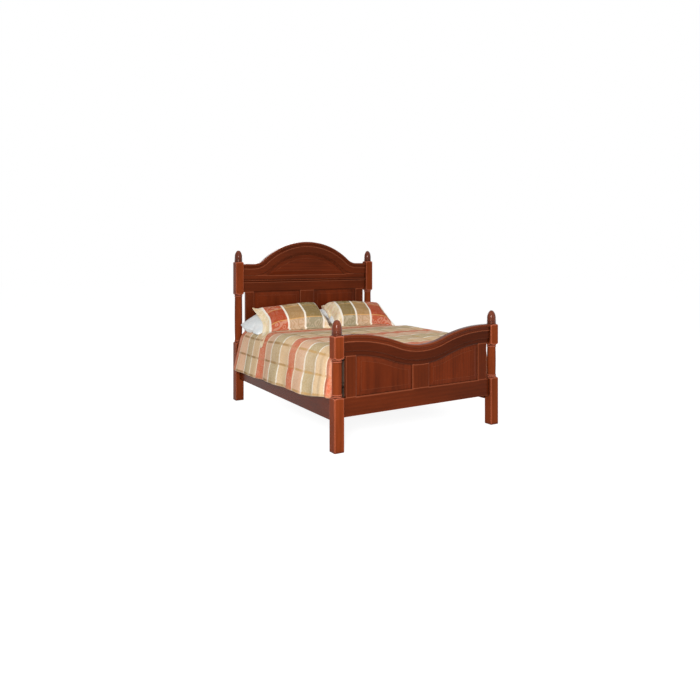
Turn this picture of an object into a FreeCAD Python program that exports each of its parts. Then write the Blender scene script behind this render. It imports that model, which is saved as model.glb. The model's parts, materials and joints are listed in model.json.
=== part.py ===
import FreeCAD, Part
import math
import os

from FreeCAD import Rotation, Vector

# A queen-size panel bed with turned posts, an arched headboard, a serpentine footboard and its bedding.
# Millimetres, +Z up, footboard towards -Y, headboard towards +Y, origin on the floor under the middle.

# Mattress set
mattress_width = 1524
mattress_length = 2032
mattress_height = 270
box_spring_height = 190
mattress_corner = 60
mattress_edge = 45
box_spring_edge = 16
bedding_gap = 0.3

# Side rails, laid out round the mattress
rail_end_room = 12.5
rail_side_room = 16
rail_thick = 25
rail_height = 180
rail_bottom = 220
rail_setback = 49.5
rail_arris = 5

# Ledger strips and slats that carry the box spring
ledger_width = 25
ledger_height = 38
ledger_lift = 8
slat_count = 5
slat_width = 89
slat_thick = 19
slat_end_gap = 1
slat_end_margin = 120

# Posts: square leg, turned shaft between two beaded ends, square block, turned finial
post_size = 89
post_arris = 8
post_chamfer = 2.5
neck_radius = 38
shaft_radius = 40
pommel_height = 18
pommel_bulge_share = 0.71
bead_count = 2
bead_height = 11
bead_gap = 3.5
bead_radius = 43
head_leg_top = 595
head_block_rise = 20
head_block_height = 324
foot_leg_top = 408
foot_block_sink = 3
foot_block_height = 164

# Finials
finial_height = 125
finial_collar_radius = 43
finial_collar_height = 9
finial_ring_count = 3
finial_ring_height = 10
finial_ring_gap = 3.5
finial_ring_radius = 43
finial_ring_step = 1
finial_groove_radius = 38.7
finial_dome_radius = 39.5
finial_tenon_radius = 12
finial_tenon_length = 30
finial_tenon_gap = 0.2

# Boards: frame stock and the raised panels in it
frame_thick = 28
tenon_length = 28
tenon_thick = 12
tenon_shoulder = 10
stile_post_gap = 30
stile_width = 99
mullion_half = 88
panel_tongue_thick = 6
panel_tongue_depth = 9
panel_fit = 0.3
panel_margin = 2
panel_bevel_width = 42
panel_bevel_rise = 6.5
panel_step = 2
panel_back_rise = 5
sticking_width = 10
sticking_depth = 5

# Footboard
foot_end_height = 911
foot_dip = 128
foot_end_run = 63.5
foot_end_sweep = 470
foot_bay_drop = 170
foot_rail_bottom = 265
foot_bay_bottom = 416

# Headboard, its crown and top rail stacked down from its overall height
headboard_height = 1687
crown_rise = 245
crown_end_run = 124
crown_end_sweep = 115
lunette_cover = 143
lunette_rise = 226
lunette_margin = 154.5
crown_base_height = 64
head_top_rail_height = 114
head_bay_bottom = 590
head_rail_bottom = 430

# Cap mouldings along the tops, the bands under them and the ledge across the headboard
foot_cap_height = 58
crown_cap_height = 57
cap_half_depth = 31
band_proud = 8
band_round = 7
foot_band_height = 73
crown_band_height = 66
ledge_drop = 16
ledge_height = 30
ledge_proud = 18
# half depth and drop of each point of the cap's section, as shares of its half depth and height
cap_crown_shares = ((0.52, 0.0), (0.90, 0.08), (1.0, 0.26))
cap_fillet_shares = ((1.0, 0.38), (0.89, 0.40), (0.89, 0.48))
cap_cove_shares = ((0.77, 0.62), (0.735, 0.86))
cap_foot_shares = ((0.86, 0.88), (0.86, 1.0))
# proud and height of each point of the ledge's section, as shares of its proud and height
ledge_cove_shares = ((0.22, 0.0), (0.34, 0.30), (0.72, 0.46))
ledge_bead_shares = ((0.86, 0.50), (1.0, 0.72), (0.86, 0.94))

# Rail hardware: hook plates let into the rail ends, slot plates let into the posts
plate_length = 140
plate_width = 16
plate_thick = 3
hook_thick = 3
hook_reach = 13
hook_arm = 16
hook_drop = 10
hook_grip_gap = 0.3
hook_lead = 4
hook_place_shares = (-0.25, 0.25)
slot_width = 4
slot_lift_room = 2
pocket_width = 8
pocket_margin = 2

# Screws
screw_head_radius = 4.5
screw_head_height = 2.8
screw_shank_radius = 2
screw_tip = 4
plate_screw_length = 32
plate_screw_shares = (-0.43, 0.0, 0.43)
ledger_screw_length = 42
ledger_screw_count = 7
ledger_screw_margin = 90
slat_screw_bite = 12

# Comforter
comforter_thick = 28
comforter_hem = 340
comforter_side_ease = 2
comforter_flare = 80
comforter_outer_round = 110
comforter_inner_round = 50
comforter_end_gap = 12
comforter_tuck_thick = 17
comforter_tuck_depth = 190
comforter_tuck_inset = 22

# Pillows and shams
pillow_width = 460
pillow_half_thick = 42
pillow_corner = 45
pillow_tilt = 18
pillow_yaw = 4
pillow_setback = 228
sham_width = 526
sham_flange = 48
sham_flange_thick = 8
sham_front_rise = 104
sham_back_rise = 5
sham_corner = 16
sham_tilt = 26
sham_yaws = {"left": -4, "right": -9.5}
sham_setback = 298
settle_gap = 0.4
settle_start = 160
settle_slack = 0.1
# lengths and sideways places on the bed, as shares of the mattress's width and half width
pillow_length_share = 0.4528
sham_length_share = 0.5013
pillow_place_shares = {"left": -0.6325, "right": 0.5524}
sham_place_shares = {"left": -0.4409, "right": 0.5994}
# inset and height of each section of a soft form, as shares of its width and its rise
pillow_section_shares = ((0.0, 0.0), (0.13, 0.45), (0.34, 0.80), (0.62, 1.0))
pillow_round_share = 0.42

cut_overrun = 20

# Places that follow from the sizes above
mattress_end = mattress_length / 2
mattress_side = mattress_width / 2
rail_length = mattress_length + 2 * rail_end_room
rail_gap = mattress_width + 2 * rail_side_room
rail_x = rail_gap / 2 + rail_thick / 2
rail_end = rail_length / 2
rail_middle = rail_bottom + rail_height / 2
post_x = rail_gap / 2 + rail_thick + rail_setback - post_size / 2
post_y = rail_end + post_size / 2
board_end = post_x - post_size / 2
stile_outer = board_end - stile_post_gap
stile_inner = stile_outer - stile_width
foot_centre_height = foot_end_height - foot_dip
foot_half_span = board_end - foot_end_run
foot_inflection = foot_half_span - foot_end_sweep
foot_block_top = foot_end_height - foot_block_sink
foot_block_bottom = foot_block_top - foot_block_height
crown_end_height = headboard_height - crown_rise
crown_half_span = board_end - crown_end_run
crown_inflection = crown_half_span - crown_end_sweep
lunette_top = headboard_height - lunette_cover
lunette_bottom = lunette_top - lunette_rise
lunette_half_width = crown_half_span - lunette_margin
crown_base_bottom = lunette_bottom - crown_base_height
ledge_bottom = crown_base_bottom - ledge_drop
head_bay_top = crown_base_bottom - head_top_rail_height
head_block_top = crown_end_height + head_block_rise
head_block_bottom = head_block_top - head_block_height
turning_height = pommel_height + bead_count * (bead_height + bead_gap)
ledger_bottom = rail_bottom + ledger_lift
ledger_top = ledger_bottom + ledger_height
ledger_x = rail_gap / 2 - ledger_width / 2
slat_top = ledger_top + slat_thick
mattress_bottom = slat_top + box_spring_height
mattress_top = mattress_bottom + mattress_height
comforter_under = mattress_top + bedding_gap
comforter_top = comforter_under + comforter_thick
comforter_top_half_width = mattress_side + comforter_thick + comforter_side_ease
comforter_hem_half_width = comforter_top_half_width + comforter_flare
comforter_tuck_half_width = mattress_side - comforter_tuck_inset
pillow_length = mattress_width * pillow_length_share
pillow_y = mattress_end - pillow_setback
sham_length = mattress_width * sham_length_share
sham_y = mattress_end - sham_setback

LEFT, RIGHT = -1, 1
FOOT, HEAD = -1, 1
SIDES = {"left": LEFT, "right": RIGHT}
UP = Vector(0, 0, 1)
CENTRE = Vector(0, 0, 0)


class SerpentineLine:
    """A board's line: level ends, and on each side two tangent arcs down or up to the middle."""

    def __init__(self, half_span, inflection, end_height, centre_height):
        self.half_span = half_span
        self.inflection = inflection
        self.end_height = end_height
        self.centre_height = centre_height
        self.way = 1 if end_height > centre_height else -1
        rise = abs(end_height - centre_height)
        self.turn_sine = math.sin(2 * math.atan(rise / half_span))

    def lowered(self, depth):
        """The parallel line that runs depth below this one."""
        inflection = self.inflection + self.way * depth * self.turn_sine
        return SerpentineLine(
            self.half_span, inflection, self.end_height - depth, self.centre_height - depth
        )

    def height(self, x):
        """Height of the line at x."""
        out = abs(x)
        if out >= self.half_span or self.turn_sine == 0:
            return self.end_height
        if out >= self.inflection:
            radius = (self.half_span - self.inflection) / self.turn_sine
            sag = radius - math.sqrt(radius**2 - (self.half_span - out) ** 2)
            return self.end_height - self.way * sag
        radius = self.inflection / self.turn_sine
        return self.centre_height + self.way * (radius - math.sqrt(radius**2 - out**2))

    def edges(self, x_from, x_to, y):
        """Lines and arcs along the line from x_from up to x_to, in the plane at y."""
        breaks = [-self.half_span, -self.inflection, self.inflection, self.half_span]
        if self.turn_sine == 0:
            breaks = []
        stops = [x_from] + [x for x in breaks if x_from < x < x_to] + [x_to]
        points = [Vector(x, y, self.height(x)) for x in stops]
        found = []
        for a, b in zip(points, points[1:]):
            middle = (a.x + b.x) / 2
            if self.turn_sine == 0 or abs(middle) > self.half_span:
                found.append(line(a, b))
            else:
                found.append(arc(a, Vector(middle, y, self.height(middle)), b))
        return found


def line(a, b):
    return Part.LineSegment(a, b).toShape()


def arc(a, middle, b):
    return Part.Arc(a, middle, b).toShape()


def wire(edges):
    return Part.Wire(Part.__sortEdges__(edges))


def polygon(points):
    """Closed wire through the points."""
    return Part.makePolygon(points + points[:1])


def prism(outline, along):
    """Solid swept straight from a closed flat wire."""
    return Part.Face(outline).extrude(along)


def turned(edges):
    """Solid turned about the Z axis from a closed profile in the XZ plane."""
    return Part.Face(wire(edges)).revolve(CENTRE, UP, 360)


def block(width, depth, height, centre_x, centre_y, bottom):
    """Box placed by the middle of its base."""
    corner = Vector(centre_x - width / 2, centre_y - depth / 2, bottom)
    return Part.makeBox(width, depth, height, corner)


def is_upright(edge):
    return abs(edge.tangentAt(edge.FirstParameter).z) == 1


def edges_at(shape, height):
    """Edges that lie wholly in the level plane at height."""
    return [
        e for e in shape.Edges
        if math.isclose(e.BoundBox.ZMin, height, abs_tol=panel_fit)
        and math.isclose(e.BoundBox.ZMax, height, abs_tol=panel_fit)
    ]


def without(shape, cutters):
    """The one solid left when the cutters are taken out of shape."""
    for cutter in cutters:
        shape = shape.cut(cutter)
    return shape.removeSplitter().Solids[0]


def joined(shapes):
    """The one solid that touching shapes make."""
    return shapes[0].multiFuse(shapes[1:]).removeSplitter().Solids[0]


# Posts and finials

def pommel_edge(square_end, way, radius):
    """Rounded shoulder that takes the square's corners down to a radius; way is up or down."""
    corner = post_size / math.sqrt(2)
    bulge_radius = radius + (corner - radius) * pommel_bulge_share
    return arc(
        Vector(corner, 0, square_end),
        Vector(bulge_radius, 0, square_end + way * pommel_height * pommel_bulge_share),
        Vector(radius, 0, square_end + way * pommel_height),
    )


def turning_edges(square_end, way):
    """Pommel and beads that lead from a square end to the shaft; way is up or down."""
    edges = [pommel_edge(square_end, way, neck_radius)]
    height = square_end + way * pommel_height
    for _ in range(bead_count):
        top = height + way * bead_height
        after = top + way * bead_gap
        edges.append(
            arc(
                Vector(neck_radius, 0, height),
                Vector(bead_radius, 0, (height + top) / 2),
                Vector(neck_radius, 0, top),
            )
        )
        edges.append(line(Vector(neck_radius, 0, top), Vector(neck_radius, 0, after)))
        height = after
    return edges


def turned_post(leg_top, block_bottom, block_top):
    """Square stock turned round between its leg and its block and at the block's top, bored for the finial."""
    corner = post_size / math.sqrt(2)
    shaft_low = leg_top + turning_height
    shaft_high = block_bottom - turning_height
    edges = turning_edges(leg_top, 1) + turning_edges(block_bottom, -1)
    edges.append(
        arc(
            Vector(neck_radius, 0, shaft_low),
            Vector(shaft_radius, 0, (shaft_low + shaft_high) / 2),
            Vector(neck_radius, 0, shaft_high),
        )
    )
    edges.append(line(CENTRE, Vector(corner, 0, 0)))
    edges.append(line(Vector(corner, 0, 0), Vector(corner, 0, leg_top)))
    shoulder = block_top - pommel_height
    edges.append(line(Vector(corner, 0, block_bottom), Vector(corner, 0, shoulder)))
    edges.append(pommel_edge(shoulder, 1, finial_collar_radius))
    edges.append(line(Vector(finial_collar_radius, 0, block_top), Vector(0, 0, block_top)))
    edges.append(line(Vector(0, 0, block_top), CENTRE))
    stock = block(post_size, post_size, block_top, 0, 0, 0)
    stock = stock.makeFillet(post_arris, [e for e in stock.Edges if is_upright(e)])
    stock = stock.makeChamfer(post_chamfer, edges_at(stock, 0))
    bore_depth = finial_tenon_length + finial_tenon_gap
    bore = Part.makeCylinder(
        finial_tenon_radius + finial_tenon_gap,
        bore_depth + cut_overrun,
        Vector(0, 0, block_top - bore_depth),
    )
    return without(stock.common(turned(edges)), [bore])


def finial():
    """Turned finial: tenon, collar, rings and a bullet dome, its seat at height 0."""
    collar_round = Vector(finial_collar_radius, 0, finial_collar_height / 2)
    height = finial_collar_height
    groove = Vector(finial_groove_radius, 0, height)
    edges = [
        line(Vector(0, 0, -finial_tenon_length), Vector(finial_tenon_radius, 0, -finial_tenon_length)),
        line(Vector(finial_tenon_radius, 0, -finial_tenon_length), Vector(finial_tenon_radius, 0, 0)),
        line(Vector(finial_tenon_radius, 0, 0), Vector(finial_groove_radius, 0, 0)),
        arc(Vector(finial_groove_radius, 0, 0), collar_round, groove),
    ]
    for ring in range(finial_ring_count):
        low = height + finial_ring_gap
        high = low + finial_ring_height
        edges.append(line(Vector(finial_groove_radius, 0, height), Vector(finial_groove_radius, 0, low)))
        edges.append(
            arc(
                Vector(finial_groove_radius, 0, low),
                Vector(finial_ring_radius - ring * finial_ring_step, 0, (low + high) / 2),
                Vector(finial_groove_radius, 0, high),
            )
        )
        height = high
    spring = height + finial_ring_gap
    dome = Part.Ellipse(
        Vector(0, 0, finial_height), Vector(finial_dome_radius, 0, spring), Vector(0, 0, spring)
    )
    edges.append(line(Vector(finial_groove_radius, 0, height), Vector(finial_groove_radius, 0, spring)))
    edges.append(line(Vector(finial_groove_radius, 0, spring), Vector(finial_dome_radius, 0, spring)))
    edges.append(quarter_ellipse(dome, finial_dome_radius, spring))
    edges.append(line(Vector(0, 0, finial_height), Vector(0, 0, -finial_tenon_length)))
    return turned(edges).Solids[0]


def quarter_ellipse(ellipse, radius, spring):
    """The dome's side: from the widest point at the spring to the tip on the axis."""
    side = ellipse.parameter(Vector(radius, 0, spring))
    tip = ellipse.parameter(Vector(0, 0, finial_height))
    low, high = sorted((side, tip))
    if high - low > math.pi:
        low, high = high, low + 2 * math.pi
    return Part.ArcOfEllipse(ellipse, low, high).toShape()


# Framed boards

def bay_wire(top_line, x_left, x_right, bottom, inset, y):
    """Outline of a panel bay, drawn in by inset all round, or out where inset is negative."""
    left, right, low = x_left + inset, x_right - inset, bottom + inset
    top = top_line.lowered(inset)
    edges = top.edges(left, right, y)
    edges.append(line(Vector(left, y, low), Vector(right, y, low)))
    edges.append(line(Vector(left, y, low), Vector(left, y, top.height(left))))
    edges.append(line(Vector(right, y, low), Vector(right, y, top.height(right))))
    return wire(edges)


def lunette_wire(inset, y):
    """Outline of the headboard's half-moon opening, drawn in by inset all round."""
    rise = lunette_top - lunette_bottom
    radius = (lunette_half_width**2 + rise**2) / (2 * rise)
    low = lunette_bottom + inset
    centre = lunette_top - radius
    half = math.sqrt((radius - inset) ** 2 - (low - centre) ** 2)
    left, right = Vector(-half, y, low), Vector(half, y, low)
    return wire([line(left, right), arc(right, Vector(0, y, lunette_top - inset), left)])


class Bay:
    """One panel bay of a board: its raised panel and what is cut from the frame round it."""

    def __init__(self, outline, y):
        self.outline = outline
        self.y = y

    def slab(self, inset, y_from, y_to):
        return prism(self.outline(inset, y_from), Vector(0, y_to - y_from, 0))

    def slope(self, inset_from, y_from, inset_to, y_to):
        ends = [self.outline(inset_from, y_from), self.outline(inset_to, y_to)]
        return Part.makeLoft(ends, True, True)

    def panel(self):
        """Raised panel: tongue, sloped field border, stepped field and a low back."""
        half = panel_tongue_thick / 2
        slope_front = self.y - half - panel_bevel_rise
        tongue = self.slab(-panel_tongue_depth, self.y - half, self.y + half)
        border = self.slope(panel_margin, self.y - half, panel_bevel_width, slope_front)
        field = self.slab(panel_bevel_width, slope_front, slope_front - panel_step)
        back = self.slab(panel_margin, self.y + half, self.y + half + panel_back_rise)
        return joined([tongue, border, field, back])

    def groove(self):
        """Groove in the frame that the panel's tongue floats in."""
        half = panel_tongue_thick / 2 + panel_fit
        return self.slab(-panel_tongue_depth - panel_fit, self.y - half, self.y + half)

    def sticking(self):
        """Sloped edge round the front of the bay."""
        front = self.y - frame_thick / 2
        return self.slope(0, front + sticking_depth, -sticking_width, front)

    def cutters(self):
        return [self.groove(), self.sticking()]


def upright_piece(top_line, x_left, x_right, bottom, y):
    """A stile or mullion and the stub tenons at its two ends, as (body, tenons)."""
    half = panel_tongue_thick / 2
    front = y - frame_thick / 2
    body = prism(bay_wire(top_line, x_left, x_right, bottom, 0, front), Vector(0, frame_thick, 0))
    tall = top_line.lowered(-panel_tongue_depth)
    low = bottom - panel_tongue_depth
    stub = prism(bay_wire(tall, x_left, x_right, low, 0, y - half), Vector(0, panel_tongue_thick, 0))
    return body, stub


def end_tenons(y, low, high):
    """The two tenons that a board's cross rail has in the posts."""
    tall = high - low - 2 * tenon_shoulder
    reach = board_end + tenon_length / 2
    return [
        block(tenon_length, tenon_thick, tall, side * reach, y, low + tenon_shoulder)
        for side in SIDES.values()
    ]


def straight_rail(y, low, high):
    return block(2 * board_end, frame_thick, high - low, 0, y, low)


def cap_section(depth, height):
    """Edges of a cap's half section from its crown down to its foot, on one side, as points and arcs."""
    at = lambda share: (depth * share[0], -height * share[1])
    return [
        ("arc", at(cap_crown_shares[0]), at(cap_crown_shares[1]), at(cap_crown_shares[2])),
        ("line", at(cap_crown_shares[2]), at(cap_fillet_shares[0])),
        ("line", at(cap_fillet_shares[0]), at(cap_fillet_shares[1])),
        ("line", at(cap_fillet_shares[1]), at(cap_fillet_shares[2])),
        ("arc", at(cap_fillet_shares[2]), at(cap_cove_shares[0]), at(cap_cove_shares[1])),
        ("line", at(cap_cove_shares[1]), at(cap_foot_shares[0])),
        ("line", at(cap_foot_shares[0]), at(cap_foot_shares[1])),
    ]


def swept(top_line, y, edges):
    """Moulding of the given section, which stands at the left end, swept along a board's line."""
    path = wire(top_line.edges(-board_end, board_end, y))
    return path.makePipeShell([wire(edges)], True, False).Solids[0]


def cap_moulding(top_line, y, height):
    """Cap along the top of a board, the same on its front and its back."""
    edges = []
    tops, feet = [], []
    for side in (-1, 1):
        points = cap_section(side * cap_half_depth, height)
        place = lambda p: Vector(-board_end, y + p[0], top_line.end_height + p[1])
        for kind, *ends in points:
            edges.append((arc if kind == "arc" else line)(*map(place, ends)))
        tops.append(place(points[0][1]))
        feet.append(place(points[-1][-1]))
    edges.append(line(*tops))
    edges.append(line(*feet))
    return swept(top_line, y, edges)


def band_moulding(top_line, y, drop, height):
    """Band applied to the front of a top rail, close under its cap, with a rounded lower edge."""
    front = y - frame_thick / 2
    high = top_line.end_height - drop
    low = high - height
    face = front - band_proud
    at = lambda depth, z: Vector(-board_end, depth, z)
    round_middle = at(face + band_round * (1 - math.sqrt(0.5)), low + band_round * (1 - math.sqrt(0.5)))
    edges = [
        line(at(front, high), at(face, high)),
        line(at(face, high), at(face, low + band_round)),
        arc(at(face, low + band_round), round_middle, at(face + band_round, low)),
        line(at(face + band_round, low), at(front, low)),
        line(at(front, low), at(front, high)),
    ]
    return swept(top_line, y, edges)


def ledge_moulding(y):
    """Straight cove and bead that runs across the headboard, under the crown."""
    front = y - frame_thick / 2
    at = lambda share: Vector(
        -board_end, front - ledge_proud * share[0], ledge_bottom + ledge_height * share[1]
    )
    back_low = Vector(-board_end, front, ledge_bottom)
    back_high = Vector(-board_end, front, ledge_bottom + ledge_height)
    edges = [
        line(back_low, at(ledge_cove_shares[0])),
        arc(*map(at, ledge_cove_shares)),
        line(at(ledge_cove_shares[2]), at(ledge_bead_shares[0])),
        arc(*map(at, ledge_bead_shares)),
        line(at(ledge_bead_shares[2]), back_high),
        line(back_high, back_low),
    ]
    return prism(wire(edges), Vector(2 * board_end, 0, 0))


def uprights(top_line, bottom, y):
    """The stiles and the mullion of a board, by name, each as (body, tenons)."""
    return {
        "stile_left": upright_piece(top_line, -stile_outer, -stile_inner, bottom, y),
        "mullion": upright_piece(top_line, -mullion_half, mullion_half, bottom, y),
        "stile_right": upright_piece(top_line, stile_inner, stile_outer, bottom, y),
    }


def panel_bays(top_line, bottom, y):
    """The two panel bays of a board, by side."""
    left = lambda inset, at: bay_wire(top_line, -stile_inner, -mullion_half, bottom, inset, at)
    right = lambda inset, at: bay_wire(top_line, mullion_half, stile_inner, bottom, inset, at)
    return {"left": Bay(left, y), "right": Bay(right, y)}


def fitted_board(prefix, top_line, bottom, y, cross_rails):
    """Uprights, panels and cross rails of a board, cut to fit each other.

    cross_rails maps a rail's name to (body, end tenons); the result maps node names to solids.
    """
    bays = panel_bays(top_line, bottom, y)
    posts = uprights(top_line, bottom, y)
    cutters = [cutter for bay in bays.values() for cutter in bay.cutters()]
    stubs = [stub for _, stub in posts.values()]
    pieces = {}
    for name, (body, stub) in posts.items():
        pieces[f"{prefix}_{name}"] = without(joined([body, stub]), cutters)
    for name, (body, ends) in cross_rails.items():
        pieces[f"{prefix}_{name}"] = without(joined([body] + ends), cutters + stubs)
    for name, bay in bays.items():
        pieces[f"{prefix}_panel_{name}"] = bay.panel()
    return pieces


def footboard():
    """Every piece of the footboard but its posts, and the tenons that enter the posts."""
    y = FOOT * post_y
    top = SerpentineLine(foot_half_span, foot_inflection, foot_end_height, foot_centre_height)
    seat = top.lowered(foot_cap_height)
    bay_top = top.lowered(foot_bay_drop)
    front = y - frame_thick / 2
    rail_edges = seat.edges(-board_end, board_end, front) + bay_top.edges(-board_end, board_end, front)
    for side in SIDES.values():
        rail_edges.append(
            line(
                Vector(side * board_end, front, seat.end_height),
                Vector(side * board_end, front, bay_top.end_height),
            )
        )
    top_rail = prism(wire(rail_edges), Vector(0, frame_thick, 0))
    high_tenons = end_tenons(y, bay_top.end_height, seat.end_height)
    low_tenons = end_tenons(y, foot_rail_bottom, foot_bay_bottom)
    cross_rails = {
        "top_rail": (top_rail, high_tenons),
        "bottom_rail": (straight_rail(y, foot_rail_bottom, foot_bay_bottom), low_tenons),
    }
    pieces = fitted_board("footboard", bay_top, foot_bay_bottom, y, cross_rails)
    pieces["footboard_cap"] = cap_moulding(top, y, foot_cap_height)
    pieces["footboard_band"] = band_moulding(top, y, foot_cap_height, foot_band_height)
    return pieces, high_tenons + low_tenons


def crown_rail(seat, y):
    """Arched rail over the half-moon opening, standing on the crown's base rail."""
    front = y - frame_thick / 2
    edges = seat.edges(-board_end, board_end, front)
    opening = lunette_wire(0, front).Edges
    edges += [e for e in opening if e.BoundBox.ZMax > lunette_bottom + panel_fit]
    for side in SIDES.values():
        foot = Vector(side * board_end, front, lunette_bottom)
        edges.append(line(foot, Vector(side * board_end, front, seat.end_height)))
        edges.append(line(foot, Vector(side * lunette_half_width, front, lunette_bottom)))
    return prism(wire(edges), Vector(0, frame_thick, 0))


def headboard():
    """Every piece of the headboard but its posts, and the tenons that enter the posts."""
    y = HEAD * post_y
    top = SerpentineLine(crown_half_span, crown_inflection, crown_end_height, headboard_height)
    seat = top.lowered(crown_cap_height)
    level = SerpentineLine(crown_half_span, crown_inflection, head_bay_top, head_bay_top)
    lunette = Bay(lunette_wire, y)
    high_tenons = end_tenons(y, head_bay_top, crown_base_bottom)
    low_tenons = end_tenons(y, head_rail_bottom, head_bay_bottom)
    base_tenons = end_tenons(y, crown_base_bottom, lunette_bottom)
    crown_tenons = end_tenons(y, lunette_bottom, seat.end_height)
    cross_rails = {
        "top_rail": (straight_rail(y, head_bay_top, crown_base_bottom), high_tenons),
        "bottom_rail": (straight_rail(y, head_rail_bottom, head_bay_bottom), low_tenons),
    }
    pieces = fitted_board("headboard", level, head_bay_bottom, y, cross_rails)
    base = straight_rail(y, crown_base_bottom, lunette_bottom)
    pieces["crown_base_rail"] = without(joined([base] + base_tenons), lunette.cutters())
    pieces["crown_rail"] = without(joined([crown_rail(seat, y)] + crown_tenons), lunette.cutters())
    pieces["lunette_panel"] = lunette.panel()
    pieces["crown_cap"] = cap_moulding(top, y, crown_cap_height)
    pieces["crown_band"] = band_moulding(top, y, crown_cap_height, crown_band_height)
    pieces["headboard_ledge"] = ledge_moulding(y)
    return pieces, high_tenons + low_tenons + base_tenons + crown_tenons


# Rails, hardware and slats

def screw(length):
    """Countersunk screw along +Z, the flat of its head at height 0."""
    points = [
        CENTRE,
        Vector(screw_head_radius, 0, 0),
        Vector(screw_shank_radius, 0, screw_head_height),
        Vector(screw_shank_radius, 0, length - screw_tip),
        Vector(0, 0, length),
    ]
    return Part.Face(polygon(points)).revolve(CENTRE, UP, 360).Solids[0]


def pointed(shape, way, place):
    """A shape made along +Z, turned to point along way and moved to place."""
    moved = shape.copy()
    moved.Placement = FreeCAD.Placement(place, Rotation(UP, way)).multiply(moved.Placement)
    return moved


def hook_plate():
    """Plate with two hooks that point to +Y, its face at y 0 and its middle at the origin."""
    pieces = [block(plate_width, plate_thick, plate_length, 0, -plate_thick / 2, -plate_length / 2)]
    grip = plate_thick + hook_grip_gap
    for share in hook_place_shares:
        z = share * plate_length
        points = [
            Vector(-hook_thick / 2, 0, z),
            Vector(-hook_thick / 2, grip, z),
            Vector(-hook_thick / 2, grip, z - hook_drop),
            Vector(-hook_thick / 2, hook_reach, z - hook_drop + hook_lead),
            Vector(-hook_thick / 2, hook_reach, z + hook_arm),
            Vector(-hook_thick / 2, 0, z + hook_arm),
        ]
        pieces.append(prism(polygon(points), Vector(hook_thick, 0, 0)))
    return joined(pieces)


def slot_plate_blank():
    return block(plate_width, plate_thick, plate_length, 0, plate_thick / 2, -plate_length / 2)


def slot_plate():
    """Plate that the hooks drop into: each arm rests on the foot of its slot."""
    tall = hook_arm + hook_drop + slot_lift_room
    slots = [
        block(slot_width, plate_thick, tall, 0, plate_thick / 2, share * plate_length)
        for share in hook_place_shares
    ]
    return without(slot_plate_blank(), slots)


def hook_pockets():
    """Pockets in the post, behind the slots, that the hooks hang in."""
    deep = hook_reach - plate_thick + pocket_margin
    tall = hook_arm + 2 * (hook_drop + pocket_margin)
    low = hook_drop + pocket_margin
    return [
        block(pocket_width, deep, tall, 0, plate_thick + deep / 2, share * plate_length - low)
        for share in hook_place_shares
    ]


def at_rail_end(shape, side, end):
    """A shape made at the origin, facing +Y, moved to one of the four rail ends."""
    moved = shape.copy()
    turn = Rotation(UP, 0 if end == HEAD else 180)
    place = FreeCAD.Placement(Vector(side * rail_x, end * rail_end, rail_middle), turn)
    moved.Placement = place.multiply(moved.Placement)
    return moved


def plate_screws(way):
    """Screws through a plate at the origin, heads flush with its face, pointing along Y by way."""
    return [
        pointed(screw(plate_screw_length), Vector(0, way, 0), Vector(0, 0, share * plate_length))
        for share in plate_screw_shares
    ]


def rail_ends():
    """The four corners of the frame, as (side, end)."""
    return [(side, end) for side in SIDES.values() for end in (FOOT, HEAD)]


def at_all_rail_ends(shapes):
    return [at_rail_end(shape, side, end) for side, end in rail_ends() for shape in shapes]


def spread(count, margin, length):
    """Even places along a length, centred on 0, with a margin at each end."""
    step = (length - 2 * margin) / (count - 1)
    return [margin - length / 2 + k * step for k in range(count)]


def side_rail(side):
    rail = block(rail_thick, rail_length, rail_height, side * rail_x, 0, rail_bottom)
    long_edges = [e for e in rail.Edges if abs(e.tangentAt(e.FirstParameter).y) == 1]
    return rail.makeFillet(rail_arris, long_edges)


def ledger_strip(side):
    return block(ledger_width, rail_length, ledger_height, side * ledger_x, 0, ledger_bottom)


def slat_places():
    return spread(slat_count, slat_end_margin, rail_length)


def slat(y):
    wide = rail_gap - 2 * slat_end_gap
    return block(wide, slat_width, slat_thick, 0, y, ledger_top)


def ledger_screws(side):
    """Screws through a ledger strip into its rail."""
    face = side * (rail_gap / 2 - ledger_width)
    height = ledger_bottom + ledger_height / 2
    return [
        pointed(screw(ledger_screw_length), Vector(side, 0, 0), Vector(face, y, height))
        for y in spread(ledger_screw_count, ledger_screw_margin, rail_length)
    ]


def slat_screws():
    """One screw down through each end of each slat into the ledger strip."""
    return [
        pointed(screw(slat_thick + slat_screw_bite), Vector(0, 0, -1), Vector(side * ledger_x, y, slat_top))
        for y in slat_places()
        for side in SIDES.values()
    ]


# Bedding

def soft_block(height, bottom, edge):
    """Mattress form: rounded corners and rolled top and bottom edges."""
    form = block(mattress_width, mattress_length, height, 0, 0, bottom)
    form = form.makeFillet(mattress_corner, [e for e in form.Edges if is_upright(e)])
    return form.makeFillet(edge, edges_at(form, bottom) + edges_at(form, bottom + height))


def rounded(before, corner, after, radius):
    """Start, middle and end of the arc that rounds the corner between two straight runs."""
    into, out = (before - corner).normalize(), (after - corner).normalize()
    half = into.getAngle(out) / 2
    reach = radius / math.tan(half)
    bisector = (into + out).normalize()
    middle = corner + bisector * (radius / math.sin(half) - radius)
    return corner + into * reach, middle, corner + out * reach


def tray_section(hem_half, top_half, hem, top, radius, y):
    """Closed section of a flared cover: two slanted sides and a level top with round shoulders."""
    left_hem, left_top = Vector(-hem_half, y, hem), Vector(-top_half, y, top)
    right_hem, right_top = Vector(hem_half, y, hem), Vector(top_half, y, top)
    left = rounded(left_hem, left_top, right_top, radius)
    right = rounded(left_top, right_top, right_hem, radius)
    return wire([
        line(left_hem, left[0]),
        arc(*left),
        line(left[2], right[0]),
        arc(*right),
        line(right[2], right_hem),
        line(right_hem, left_hem),
    ])


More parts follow.
